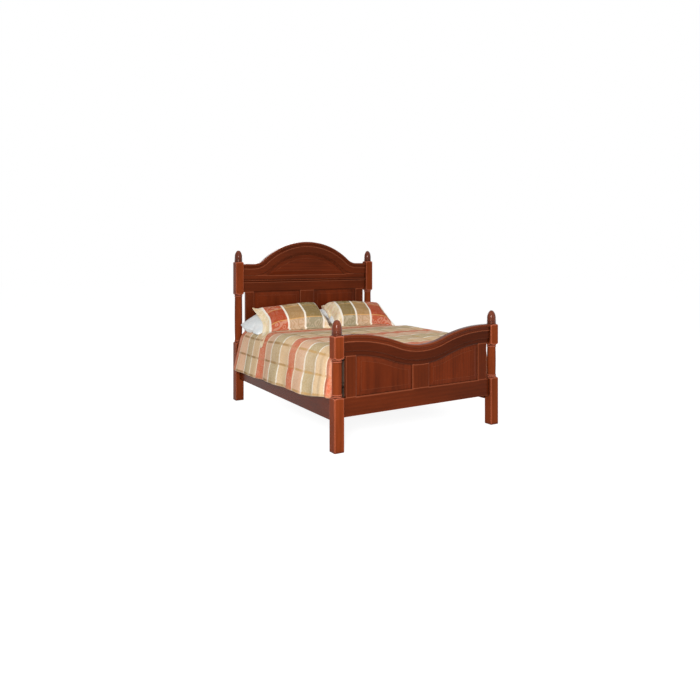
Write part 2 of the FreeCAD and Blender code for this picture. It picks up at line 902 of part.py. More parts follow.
def comforter():
    """Comforter over the mattress: flared sides outside the rails and a tuck down inside the footboard."""
    foot = -mattress_end
    head = rail_end - comforter_end_gap
    flare = (comforter_hem_half_width - comforter_top_half_width) / (comforter_top - comforter_hem)
    inner_hem = comforter_hem_half_width - comforter_thick
    inner_top = inner_hem - flare * (comforter_under - comforter_hem)
    outer = tray_section(
        comforter_hem_half_width, comforter_top_half_width, comforter_hem, comforter_top,
        comforter_outer_round, foot,
    )
    inner = tray_section(
        inner_hem, inner_top, comforter_hem, comforter_under, comforter_inner_round, foot
    )
    along = Vector(0, head - foot, 0)
    cover = prism(outer, along).cut(prism(inner, along))
    tuck_inside = foot - bedding_gap
    tuck_outside = tuck_inside - comforter_tuck_thick
    turn = rounded(
        Vector(0, tuck_outside, comforter_under), Vector(0, tuck_outside, comforter_top),
        Vector(0, foot, comforter_top), comforter_tuck_thick,
    )
    low = comforter_top - comforter_tuck_depth
    tuck = wire([
        arc(*turn),
        line(turn[2], Vector(0, foot, comforter_top)),
        line(Vector(0, foot, comforter_top), Vector(0, foot, comforter_under)),
        line(Vector(0, foot, comforter_under), Vector(0, tuck_inside, comforter_under)),
        line(Vector(0, tuck_inside, comforter_under), Vector(0, tuck_inside, low)),
        line(Vector(0, tuck_inside, low), Vector(0, tuck_outside, low)),
        line(Vector(0, tuck_outside, low), turn[0]),
    ])
    fall = prism(tuck, Vector(2 * comforter_tuck_half_width, 0, 0))
    fall.translate(Vector(-comforter_tuck_half_width, 0, 0))
    return joined([cover, fall])


def rounded_rectangle(length, width, radius, z):
    """Level closed wire, centred on the Z axis."""
    x, y = length / 2, width / 2
    corners = [Vector(-x, -y, z), Vector(x, -y, z), Vector(x, y, z), Vector(-x, y, z)]
    arcs = [
        rounded(corners[k - 1], corners[k], corners[(k + 1) % len(corners)], radius)
        for k in range(len(corners))
    ]
    edges = []
    for this, following in zip(arcs, arcs[1:] + arcs[:1]):
        edges.append(arc(*this))
        edges.append(line(this[2], following[0]))
    return Part.Wire(edges)


def crowned(length, width, corner, rise):
    """Soft half form that rises from a level outline; a negative rise hangs below it."""
    sections = []
    for inset_share, rise_share in pillow_section_shares:
        inset = inset_share * width
        radius = corner * (1 - inset_share) + (width - inset) * inset_share * pillow_round_share
        sections.append(
            rounded_rectangle(length - inset, width - inset, radius, rise * rise_share)
        )
    return Part.makeLoft(sections, True, True)


def pillow():
    """Plain pillow, crowned on both faces."""
    top = crowned(pillow_length, pillow_width, pillow_corner, pillow_half_thick)
    under = crowned(pillow_length, pillow_width, pillow_corner, -pillow_half_thick)
    return joined([top, under])


def sham():
    """Sham with a flat flange all round, fuller on its front than where it lies on the pillow."""
    length, width = sham_length - 2 * sham_flange, sham_width - 2 * sham_flange
    corner = sham_corner + sham_flange / 2
    flange = Part.Face(rounded_rectangle(sham_length, sham_width, sham_corner, 0))
    front = crowned(length, width, corner, sham_front_rise)
    front.translate(Vector(0, 0, sham_flange_thick))
    back = crowned(length, width, corner, -sham_back_rise)
    return joined([flange.extrude(Vector(0, 0, sham_flange_thick)), front, back])


def settled(form, tilt, yaw, x, y, supports):
    """The form tilted back and turned, then let down until it lies on the supports."""
    turn = Rotation(UP, yaw).multiply(Rotation(Vector(1, 0, 0), tilt))
    height = max(s.BoundBox.ZMax for s in supports) + settle_start
    lowered = form.copy()
    lowered.Placement = FreeCAD.Placement(Vector(x, y, height), turn)
    under = Part.makeCompound(supports)
    spare = lowered.distToShape(under)[0] - settle_gap
    while spare > settle_slack:
        lowered.translate(Vector(0, 0, -spare))
        spare = lowered.distToShape(under)[0] - settle_gap
    return lowered


def bedding():
    """Mattress set, comforter, pillows and shams, by node name."""
    cover = comforter()
    pieces = {
        "box_spring": soft_block(box_spring_height, slat_top, box_spring_edge),
        "mattress": soft_block(mattress_height, mattress_bottom, mattress_edge),
        "comforter": cover,
    }
    for name, side in SIDES.items():
        pillow_x = mattress_side * pillow_place_shares[name]
        under = settled(pillow(), pillow_tilt, -side * pillow_yaw, pillow_x, pillow_y, [cover])
        pieces[f"pillow_{name}"] = under
        sham_x = mattress_side * sham_place_shares[name]
        pieces[f"sham_{name}"] = settled(
            sham(), sham_tilt, sham_yaws[name], sham_x, sham_y, [cover, under]
        )
    return pieces


# The whole bed

def post_cutters():
    """What is let into the posts at the rail ends: slot plates, hook pockets and screws."""
    return at_all_rail_ends([slot_plate_blank()] + hook_pockets() + plate_screws(1))


def posts_and_finials(tenons):
    """The four posts, each with the mortises that its neighbours need, and their finials."""
    heights = {
        "headboard": (HEAD, head_leg_top, head_block_bottom, head_block_top),
        "footboard": (FOOT, foot_leg_top, foot_block_bottom, foot_block_top),
    }
    pieces = {}
    cutters = tenons + post_cutters()
    for board, (end, leg_top, block_bottom, block_top) in heights.items():
        for name, side in SIDES.items():
            post = turned_post(leg_top, block_bottom, block_top)
            post.translate(Vector(side * post_x, end * post_y, 0))
            near = [c for c in cutters if c.BoundBox.intersect(post.BoundBox)]
            pieces[f"{board}_post_{name}"] = without(post, near)
            top = finial()
            top.translate(Vector(side * post_x, end * post_y, block_top))
            pieces[f"{board}_finial_{name}"] = top
    return pieces


def rails_and_slats():
    """Side rails with their hardware, ledger strips and slats, by node name."""
    hook_plates = at_all_rail_ends([hook_plate()])
    hook_screws = at_all_rail_ends(plate_screws(-1))
    strip_screws = [s for side in SIDES.values() for s in ledger_screws(side)]
    board_screws = slat_screws()
    pieces = {}
    for name, side in SIDES.items():
        own = lambda shapes: [s for s in shapes if s.BoundBox.Center.x * side > 0]
        rail_cutters = own(hook_plates) + own(hook_screws) + own(strip_screws)
        pieces[f"side_rail_{name}"] = without(side_rail(side), rail_cutters)
        strip_cutters = own(strip_screws) + own(board_screws)
        pieces[f"ledger_strip_{name}"] = without(ledger_strip(side), strip_cutters)
    for k, y in enumerate(slat_places()):
        pieces[f"slat_{k + 1}"] = without(slat(y), board_screws)
    plates = [without(plate, hook_screws) for plate in hook_plates]
    slot_screws = at_all_rail_ends(plate_screws(1))
    slotted = [without(plate, slot_screws) for plate in at_all_rail_ends([slot_plate()])]
    pieces["rail_hook_plates"] = Part.makeCompound(plates)
    pieces["post_slot_plates"] = Part.makeCompound(slotted)
    pieces["hook_plate_screws"] = Part.makeCompound(hook_screws)
    pieces["slot_plate_screws"] = Part.makeCompound(slot_screws)
    pieces["ledger_screws"] = Part.makeCompound(strip_screws)
    pieces["slat_screws"] = Part.makeCompound(board_screws)
    return pieces


def main():
    foot_pieces, foot_tenons = footboard()
    head_pieces, head_tenons = headboard()
    nodes = {**head_pieces, **foot_pieces}
    nodes.update(posts_and_finials(foot_tenons + head_tenons))
    nodes.update(rails_and_slats())
    nodes.update(bedding())
    os.makedirs("parts", exist_ok=True)
    for name, shape in nodes.items():
        shape.exportStep(f"parts/{name}.step")
        box = shape.optimalBoundingBox()
        print(
            f"{name}: {len(shape.Solids)} solids, valid {shape.isValid()}, {shape.Volume / 1e6:.2f} l, "
            f"x {box.XMin:.0f}..{box.XMax:.0f}, y {box.YMin:.0f}..{box.YMax:.0f}, "
            f"z {box.ZMin:.0f}..{box.ZMax:.0f}"
        )


main()
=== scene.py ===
"""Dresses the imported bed: cherry joinery, hardware, mattress set, plaid comforter, pillows and shams."""

import json
import logging
import math
from dataclasses import dataclass
from enum import Enum
from typing import Any

import bmesh
import bpy
from mathutils import Matrix, Vector, noise


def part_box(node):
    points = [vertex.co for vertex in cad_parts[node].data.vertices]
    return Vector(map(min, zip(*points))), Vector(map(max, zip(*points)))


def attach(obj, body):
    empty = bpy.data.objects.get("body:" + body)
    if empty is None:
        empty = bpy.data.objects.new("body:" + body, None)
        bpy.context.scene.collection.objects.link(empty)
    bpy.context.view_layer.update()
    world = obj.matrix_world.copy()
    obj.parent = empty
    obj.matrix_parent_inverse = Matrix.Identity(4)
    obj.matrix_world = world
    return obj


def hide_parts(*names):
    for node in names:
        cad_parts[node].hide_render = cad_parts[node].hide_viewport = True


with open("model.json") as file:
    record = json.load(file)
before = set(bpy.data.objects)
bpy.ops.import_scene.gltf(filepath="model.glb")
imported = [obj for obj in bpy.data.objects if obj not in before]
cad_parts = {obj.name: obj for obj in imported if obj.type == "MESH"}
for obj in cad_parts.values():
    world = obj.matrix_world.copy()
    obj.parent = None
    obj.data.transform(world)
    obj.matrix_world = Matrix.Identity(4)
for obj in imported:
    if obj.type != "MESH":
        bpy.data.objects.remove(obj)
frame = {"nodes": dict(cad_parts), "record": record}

LOG = logging.getLogger("bed")
Colour = tuple[float, float, float, float]
Place = tuple[float, float, float]
Pair = tuple[float, float]
Socket = bpy.types.NodeSocket
Sockets = bpy.types.bpy_prop_collection
CLOTH_UV = "cloth"
FILLED = "filled"
QUILT_ROW = 0.179
PLAIN_WHITE: Colour = (1.0, 1.0, 1.0, 1.0)


def tone(red: int, green: int, blue: int) -> Colour:
    """Gives the linear colour, with full alpha, of a display colour from 0 to 255."""
    shares = [value / 255 for value in (red, green, blue)]
    return (*(s / 12.92 if s <= 0.04045 else ((s + 0.055) / 1.055) ** 2.4 for s in shares), 1.0)


def ease(value: float, start: float, end: float) -> float:
    """Rises smoothly from 0 at start to 1 at end, which may be below start."""
    share = min(1.0, max(0.0, (value - start) / (end - start)))
    return share * share * (3 - 2 * share)


class Graph:
    """Adds and links the nodes of one shader tree."""

    def __init__(self, tree: bpy.types.NodeTree) -> None:
        """Keeps the tree that the nodes go into."""
        self.tree = tree

    def fill(self, inputs: Sockets, values: dict[Any, Any]) -> None:
        """Links or sets several inputs.

        Args:
            inputs: The inputs of a node.
            values: By input name or number, an output to link, or a plain number, colour or vector.
        """
        for key, value in values.items():
            if isinstance(value, bpy.types.NodeSocket):
                self.tree.links.new(value, inputs[key])
            else:
                inputs[key].default_value = value

    def add(self, kind: str, feeds: dict[Any, Any] | None = None, **settings: Any) -> bpy.types.Node:
        """Adds a node.

        Args:
            kind: The node's type name.
            feeds: Values or sockets by input name or number.
            **settings: Attributes to set on the node.

        Returns:
            The node.
        """
        node = self.tree.nodes.new(kind)
        for name, value in settings.items():
            setattr(node, name, value)
        self.fill(node.inputs, feeds or {})
        return node

    def sum(self, operation: str, *values: Any) -> Socket:
        """Gives the result of a Math node."""
        return self.add("ShaderNodeMath", dict(enumerate(values)), operation=operation).outputs[0]

    def times(self, first: Any, second: Any) -> Socket:
        """Gives a product."""
        return self.sum("MULTIPLY", first, second)

    def mix(self, share: Any, first: Any, second: Any, blend: str = "MIX") -> Socket:
        """Mixes two colours: the first at a share of 0, the second at 1."""
        feeds = {0: share, 6: first, 7: second}
        return self.add("ShaderNodeMix", feeds, data_type="RGBA", blend_type=blend).outputs[2]

    def tint(self, base: Any, colour: Any, mask: Any, amount: Any) -> Socket:
        """Mixes a colour into another where a mask is 1, up to an amount."""
        return self.mix(self.times(mask, amount), base, colour)

    def spread(self, value: Any, low: float, high: float, bottom: float = 0.0, top: float = 1.0) -> Socket:
        """Maps the range from low to high onto that from bottom to top along a smooth step."""
        feeds = {"Value": value, "From Min": low, "From Max": high, "To Min": bottom, "To Max": top}
        return self.add("ShaderNodeMapRange", feeds, interpolation_type="SMOOTHSTEP").outputs["Result"]

    def parts(self, vector: Socket) -> Sockets:
        """Splits a vector into its axes."""
        return self.add("ShaderNodeSeparateXYZ", {0: vector}).outputs

    def stretched(self, vector: Socket, scale: Place) -> Socket:
        """Scales coordinates along each axis."""
        return self.add("ShaderNodeMapping", {"Vector": vector, "Scale": scale}).outputs[0]

    def noise(self, vector: Socket, scale: Any, detail: float, roughness: float = 0.5) -> Socket:
        """Gives a noise of about 0 to 1."""
        feeds = {"Vector": vector, "Scale": scale, "Detail": detail, "Roughness": roughness}
        return self.add("ShaderNodeTexNoise", feeds).outputs[0]

    def drawn(self, vector: Socket, scale: Place, detail: float, roughness: float = 0.5) -> Socket:
        """Gives a noise that is drawn out along the axes."""
        return self.noise(self.stretched(vector, scale), 1.0, detail, roughness)

    def relief(self, height: Socket, strength: float, distance: float, **feeds: Socket) -> Socket:
        """Gives the normal of a surface with a fine relief."""
        feeds |= {"Strength": strength, "Distance": distance, "Height": height}
        return self.add("ShaderNodeBump", feeds).outputs[0]

    def steps(self, share: Socket, stops: list[tuple[float, Colour]]) -> Socket:
        """Gives plain bands of colour.

        Args:
            share: Place along the bands, 0 to 1.
            stops: Where each band starts, and its colour.

        Returns:
            The colour at that place.
        """
        node = self.add("ShaderNodeValToRGB", {0: share})
        ramp = node.color_ramp
        ramp.interpolation = "CONSTANT"
        while len(ramp.elements) < len(stops):
            ramp.elements.new(1.0)
        for element, (place, colour) in zip(ramp.elements, stops):
            element.position = place
            element.color = colour
        return node.outputs[0]

    def group(self, tree: bpy.types.NodeTree, feeds: dict[str, Any]) -> Sockets:
        """Places a node group and gives its outputs."""
        return self.add("ShaderNodeGroup", feeds, node_tree=tree).outputs


class Paint(Graph):
    """The graph of one material, with the inputs of its Principled BSDF."""

    def __init__(self, name: str, effects: "Effects | None" = None) -> None:
        """Starts the material.

        Args:
            name: The material's name.
            effects: The shared node groups, where it uses any.
        """
        self.effects = effects
        self.material = bpy.data.materials.new(name)
        self.material.use_nodes = True
        super().__init__(self.material.node_tree)
        self.shader = self.tree.nodes["Principled BSDF"].inputs

    def place(self) -> Socket:
        """Gives the object coordinates."""
        return self.add("ShaderNodeTexCoord").outputs["Object"]

    def cloth_place(self) -> Socket:
        """Gives the cloth's own flat coordinates."""
        return self.add("ShaderNodeUVMap", uv_map=CLOTH_UV).outputs[0]


class Effects:
    """Node groups that several finishes share, each built once."""

    def __init__(self) -> None:
        """Builds the groups."""
        self.grain = self._grain()
        self.weave = self._weave()
        self.stripe = self._stripe()
        self.figure = self._figure()
        self.painted_light = self._painted_light()

    def _open(
        self, name: str, takes: dict[str, str], gives: dict[str, str]
    ) -> tuple[Graph, Sockets, Sockets]:
        """Starts a group.

        Args:
            name: The group's name.
            takes: Kinds of the inputs, by name.
            gives: Kinds of the outputs, by name.

        Returns:
            The graph, its input node's outputs and its output node's inputs.
        """
        tree = bpy.data.node_groups.new(name, "ShaderNodeTree")
        for way, sockets in (("INPUT", takes), ("OUTPUT", gives)):
            for label, kind in sockets.items():
                tree.interface.new_socket(label, in_out=way, socket_type="NodeSocket" + kind)
        graph = Graph(tree)
        return graph, graph.add("NodeGroupInput").outputs, graph.add("NodeGroupOutput").inputs

    def _grain(self) -> bpy.types.NodeTree:
        """Straight wood grain along X: growth bands, fibre streaks, pores and slow changes of tone.

        Returns:
            The node group.
        """
        takes = {"Vector": "Vector", "Light": "Color", "Dark": "Color", "Banding": "Float"}
        gives = {"Color": "Color", "Height": "Float", "Gloss": "Float"}
        graph, given, out = self._open("wood_grain", takes, gives)
        place = given["Vector"]
        wander = graph.noise(graph.stretched(place, (0.8, 3.0, 3.0)), 2.0, 3.0)
        heart = {0: place, 1: (0.0, 0.41, 0.83)}
        bent = graph.add("ShaderNodeVectorMath", heart, operation="ADD").outputs[0]
        growth = {"Vector": graph.stretched(bent, (0.10, 1.0, 1.0)), "Scale": 11.0, "Distortion": 5.0,
                  "Detail": 2.0, "Detail Scale": 1.6}
        rings = graph.add(
            "ShaderNodeTexWave", growth, wave_type="RINGS", rings_direction="X", wave_profile="SIN"
        ).outputs["Fac"]
        fibre = graph.drawn(place, (5.0, 190.0, 190.0), 4.0, 0.6)
        pore = graph.spread(graph.drawn(place, (40.0, 1100.0, 1100.0), 1.0), 0.60, 0.72)
        banded = graph.times(graph.sum("SUBTRACT", rings, 0.5), given["Banding"])
        streaked = graph.sum("MULTIPLY_ADD", graph.sum("SUBTRACT", fibre, 0.5), 0.45, banded)
        slow = graph.sum("MULTIPLY_ADD", graph.sum("SUBTRACT", wander, 0.5), 1.5, streaked)
        share = graph.add("ShaderNodeClamp", {0: graph.sum("ADD", slow, 0.5)}).outputs[0]
        colour = graph.mix(share, given["Dark"], given["Light"])
        graph.fill(out, {
            "Color": graph.mix(graph.times(pore, 0.18), colour, given["Dark"], "MULTIPLY"),
            "Height": graph.sum("SUBTRACT", fibre, graph.times(pore, 0.6)),
            "Gloss": graph.sum("ADD", wander, graph.times(pore, 0.4)),
        })
        return graph.tree

    def _weave(self) -> bpy.types.NodeTree:
        """Plain weave: threads that pass over and under each other, with slubs.

        Returns:
            The node group.
        """
        takes = {"Vector": "Vector", "Pitch": "Float"}
        graph, given, out = self._open("plain_weave", takes, {"Height": "Float", "Shade": "Float"})
        parts = graph.parts(given["Vector"])
        turn = graph.sum("DIVIDE", math.pi, given["Pitch"])
        warp, weft = (graph.sum("SINE", graph.times(parts[k], turn)) for k in range(2))
        over = graph.sum("GREATER_THAN", graph.times(warp, weft), 0.0)
        warp_up = graph.times(graph.sum("ABSOLUTE", warp), over)
        weft_up = graph.times(graph.sum("ABSOLUTE", weft), graph.sum("SUBTRACT", 1.0, over))
        slub = graph.drawn(given["Vector"], (60.0, 420.0, 60.0), 2.0)
        height = graph.sum("ADD", graph.sum("ADD", warp_up, weft_up), graph.times(slub, 0.8))
        graph.fill(out, {"Height": height, "Shade": graph.spread(height, 0.1, 1.3, 0.82, 1.06)})
        return graph.tree

    def _stripe(self) -> bpy.types.NodeTree:
        """Mask of a soft-edged stripe that repeats along one coordinate.

        Returns:
            The node group.
        """
        takes = dict.fromkeys(("Place", "Centre", "Period", "Width", "Soft"), "Float")
        graph, given, out = self._open("repeat_stripe", takes, {"Mask": "Float"})
        half = graph.times(given["Period"], 0.5)
        away = graph.sum("SUBTRACT", given["Place"], given["Centre"])
        away = graph.sum("WRAP", away, half, graph.times(half, -1.0))
        reach = graph.sum("SUBTRACT", graph.times(given["Width"], 0.5), graph.sum("ABSOLUTE", away))
        graph.fill(out, {"Mask": graph.spread(graph.sum("DIVIDE", reach, given["Soft"]), -1.0, 1.0)})
        return graph.tree

    def _figure(self) -> bpy.types.NodeTree:
        """Mask of a small scrolling figure, as jacquard cloth has.

        Returns:
            The node group.
        """
        takes = {"Vector": "Vector", "Scale": "Float"}
        graph, given, out = self._open("jacquard_figure", takes, {"Mask": "Float"})
        swirl = graph.noise(given["Vector"], graph.times(given["Scale"], 0.6), 1.0)
        feeds = {key: given[key] for key in takes}
        lobes = graph.add("ShaderNodeTexVoronoi", feeds, feature="SMOOTH_F1").outputs["Distance"]
        wave = graph.sum("SINE", graph.times(graph.sum("ADD", lobes, swirl), 19.0))
        graph.fill(out, {"Mask": graph.spread(wave, -0.4, 0.9)})
        return graph.tree

    def _painted_light(self) -> bpy.types.NodeTree:
        """Masks of painted highlights on convex edges, upward faces and slanted mouldings, and of painted
        shade in hollows and on undersides.

        Returns:
            The node group.
        """
        takes = {"Normal": "Vector"} | dict.fromkeys(("Hollow", "Buried", "Moulding Highlight", "Crest"), "Float")
        graph, given, out = self._open("painted_highlight_and_shade", takes, {"Painted Highlight": "Float", "Painted Shade": "Float"})
        faces = graph.parts(given["Normal"])
        # Painted highlight on mouldings whose faces slant both sideways and forward.
        sides = [graph.spread(graph.sum("ABSOLUTE", faces[k]), 0.35, 0.6) for k in range(2)]
        sideways = graph.times(graph.times(*sides), given["Moulding Highlight"])
        # Painted highlight on faces that turn upward, fading out above the crest height.
        above = graph.spread(graph.sum("SUBTRACT", faces[2], given["Crest"]), 0.0, 0.17, 1.0, 0.0)
        upward = graph.times(graph.spread(faces[2], 0.15, 0.5, 0.0, 0.6), above)
        # Painted highlight on convex edges, where occlusion traced inside the wood is low.
        edges = graph.spread(given["Buried"], 0.60, 0.92, 1.0, 0.0)
        # Painted shade on faces that turn downward, and in hollows where occlusion is high.
        under = graph.spread(faces[2], -0.6, -0.15, 0.5, 1.0)
        graph.fill(out, {
            "Painted Highlight": graph.sum("MAXIMUM", edges, graph.sum("MAXIMUM", upward, sideways)),
            "Painted Shade": graph.times(graph.spread(given["Hollow"], 0.40, 0.95, 0.12, 1.0), under),
        })
        return graph.tree


class Grain(Enum):
    """Which axis of the bed the wood's grain runs along."""

    CROSSWISE = (0, 1, 2)
    LENGTHWISE = (1, 2, 0)
    UPRIGHT = (2, 0, 1)


class Timber(Enum):
    """The light and dark tones of each kind of wood."""

    BOARD = (tone(109, 44, 19), tone(77, 29, 11))
    # Darker tone for the footboard's top rail and band: painted shade from the cap above them.
    RAIL_PAINTED_SHADE = (tone(84, 32, 13), tone(58, 20, 7))
    POST = (tone(146, 65, 31), tone(101, 42, 19))
    FINIAL = (tone(116, 50, 26), tone(80, 33, 17))
    PANEL = (tone(117, 46, 19), tone(76, 28, 11))
    PINE = (tone(222, 190, 142), tone(190, 150, 100))


@dataclass(frozen=True)
class Finish:
    """The look of a surface."""

    name: str

    def material(self, effects: Effects) -> bpy.types.Material:
        """Builds the material.

        Args:
            effects: The shared node groups.

        Returns:
            The material.
        """
        paint = Paint(self.name, effects)
        self.dress(paint)
        return paint.material

    def dress(self, paint: Paint) -> None:
        """Adds the finish's nodes to a material."""
        raise NotImplementedError


@dataclass(frozen=True)
class WoodFinish(Finish):
    """Wood with a grain direction, a sheen, painted highlights on edges and mouldings, and painted shade in
    hollows and on undersides.
    """

    grain: Grain
    timber: Timber
    banding: float = 0.16
    roughness: float = 0.28
    specular: float = 0.10
    sheen: Colour = (1.0, 0.55, 0.36, 1.0)
    # The tone and strength of the painted highlight, its share on slanted mouldings, and the height above
    # which upward faces lose it.
    highlight_colour: Colour = tone(168, 92, 62)
    highlight_share: float = 0.6
    moulding_highlight: float = 0.9
    crest: float = 0.80
    edge: float = 0.0025
    # Reach of the occlusion that finds hollows for the painted shade, and of the occlusion traced inside that
    # finds convex edges for the painted highlight.
    crease: float = 0.018
    arris: float = 0.0075

    def dress(self, paint: Paint) -> None:
        """Adds the wood's nodes.

        Args:
            paint: The material's graph.
        """
        parts = paint.parts(paint.place())
        axes = {k: parts[axis] for k, axis in enumerate(self.grain.value)}
        turned = paint.add("ShaderNodeCombineXYZ", axes)
        light, dark = self.timber.value
        feeds = {"Vector": turned.outputs[0], "Light": light, "Dark": dark, "Banding": self.banding}
        wood = paint.group(paint.effects.grain, feeds)
        rounded = paint.add("ShaderNodeBevel", {"Radius": self.edge}, samples=4).outputs[0]
        # Occlusion finds hollows for the painted shade; traced inside, it finds convex edges for the painted
        # highlight.
        hollow = paint.add("ShaderNodeAmbientOcclusion", {"Distance": self.crease}, samples=8)
        buried = paint.add(
            "ShaderNodeAmbientOcclusion", {"Distance": self.arris}, samples=8, inside=True, only_local=True
        )
        faces = paint.add("ShaderNodeNewGeometry").outputs["Normal"]
        feeds = {"Normal": faces, "Hollow": hollow.outputs["AO"], "Buried": buried.outputs["AO"],
                 "Moulding Highlight": self.moulding_highlight, "Crest": self.crest}
        painted_light = paint.group(paint.effects.painted_light, feeds)
        # Painted highlight: a paler tone on convex edges, upward faces and slanted mouldings.
        pale = paint.tint(wood["Color"], self.highlight_colour, painted_light["Painted Highlight"], self.highlight_share)
        matt = (self.roughness - 0.07, self.roughness + 0.10)
        paint.fill(paint.shader, {
            # Painted shade: darker in hollows and on downward faces.
            "Base Color": paint.mix(1.0, pale, painted_light["Painted Shade"], "MULTIPLY"),
            "Roughness": paint.spread(wood["Gloss"], 0.2, 1.1, *matt),
            "Normal": paint.relief(wood["Height"], 0.12, 0.0008, Normal=rounded),
            "Specular IOR Level": self.specular,
            "Specular Tint": self.sheen,
        })


@dataclass(frozen=True)
class SteelFinish(Finish):
    """Plated steel of plates and screws."""

    name: str = "zinc_plated_steel"
    light: Colour = tone(178, 176, 168)
    dark: Colour = tone(120, 118, 112)

    def dress(self, paint: Paint) -> None:
        """Adds the steel's nodes.

        Args:
            paint: The material's graph.
        """
        place = paint.place()
        blotch = paint.noise(place, 70.0, 4.0, 0.6)
        brushed = paint.drawn(place, (900.0, 900.0, 40.0), 2.0)
        paint.fill(paint.shader, {
            "Base Color": paint.mix(paint.spread(blotch, 0.3, 0.7), self.dark, self.light),
            "Roughness": paint.spread(brushed, 0.2, 0.8, 0.28, 0.46),
            "Metallic": 1.0,
            "Normal": paint.relief(brushed, 0.1, 0.0003),
        })


@dataclass(frozen=True)
class ClothFinish(Finish):
    """Plain woven cloth in two near tones."""

    light: Colour
    dark: Colour
    pitch: float = 0.0016
    figure_scale: float = 28.0
    figure_share: float = 0.25
    quilt: float = 0.0

    def dress(self, paint: Paint) -> None:
        """Adds the cloth's nodes.

        Args:
            paint: The material's graph.
        """
        place = paint.place()
        figure = paint.group(paint.effects.figure, {"Vector": place, "Scale": self.figure_scale})[0]
        base = paint.mix(paint.spread(paint.noise(place, 9.0, 3.0), 0.3, 0.7), self.dark, self.light)
        base = paint.tint(base, self.dark, figure, self.figure_share)
        x, y, z = paint.parts(place)
        sums = {0: paint.sum("ADD", x, y), 1: paint.sum("ADD", z, y)}
        across = paint.add("ShaderNodeCombineXYZ", sums).outputs[0]
        weave = paint.group(paint.effects.weave, {"Vector": across, "Pitch": self.pitch})
        height = paint.times(weave["Height"], 0.05)
        if self.quilt:
            slants = [paint.sum(way, x, y) for way in ("ADD", "SUBTRACT")]
            ways = [paint.sum("SINE", paint.times(slant, self.quilt)) for slant in slants]
            puff = paint.sum("POWER", paint.sum("ABSOLUTE", paint.times(*ways)), 0.4)
            height = paint.sum("ADD", height, puff)
        paint.fill(paint.shader, {
            "Base Color": paint.mix(1.0, base, weave["Shade"], "MULTIPLY"),
            "Roughness": paint.spread(figure, 0.0, 1.0, 0.86, 0.72),
            "Normal": paint.relief(height, 0.35, 0.004),
            "Specular IOR Level": 0.15,
        })


class Dye(Enum):
    """The yarn colours of the plaid bedding."""

    TERRACOTTA = tone(188, 80, 50)
    CORAL = tone(200, 98, 68)
    BRICK = tone(216, 110, 79)
    SALMON = tone(222, 160, 126)
    CREAM = tone(250, 234, 206)
    WHITE = tone(252, 245, 230)
    PINK_TAN = tone(230, 186, 154)
    SAGE = tone(200, 178, 138)
    BEIGE = tone(230, 197, 154)
    BUTTER = tone(240, 220, 178)
    TAN = tone(180, 142, 96)
    PINK_BEIGE = tone(206, 172, 138)
    OLIVE = tone(142, 122, 76)
    OLIVE_BROWN = tone(150, 126, 82)
    GREY_SAGE = tone(170, 160, 132)
    GOLD = tone(228, 176, 104)
    OCHRE = tone(206, 160, 96)
    BROWN = tone(150, 110, 64)


@dataclass(frozen=True)
class PlaidFinish(Finish):
    """A plaid woven of dyed yarn, in the cloth's own flat coordinates."""

    def weave(self, paint: Paint, place: Socket, colour: Socket, figure: Socket, matt: Pair) -> None:
        """Puts threads over the plaid's colours, and weaves its figure a little higher and silkier.

        Args:
            paint: The material's graph.
            place: The cloth's own coordinates.
            colour: The plaid's colours.
            figure: The mask of the figure.
            matt: Roughness of the ground and of the figure.
        """
        threads = paint.group(paint.effects.weave, {"Vector": place, "Pitch": 0.0017})
        height = paint.sum("ADD", paint.times(threads["Height"], 0.35), paint.times(figure, 0.25))
        paint.fill(paint.shader, {
            "Base Color": paint.mix(1.0, colour, threads["Shade"], "MULTIPLY"),
            "Roughness": paint.spread(figure, 0.0, 1.0, *matt),
            "Normal": paint.relief(height, 0.4, 0.0012),
            "Specular IOR Level": 0.1,
        })


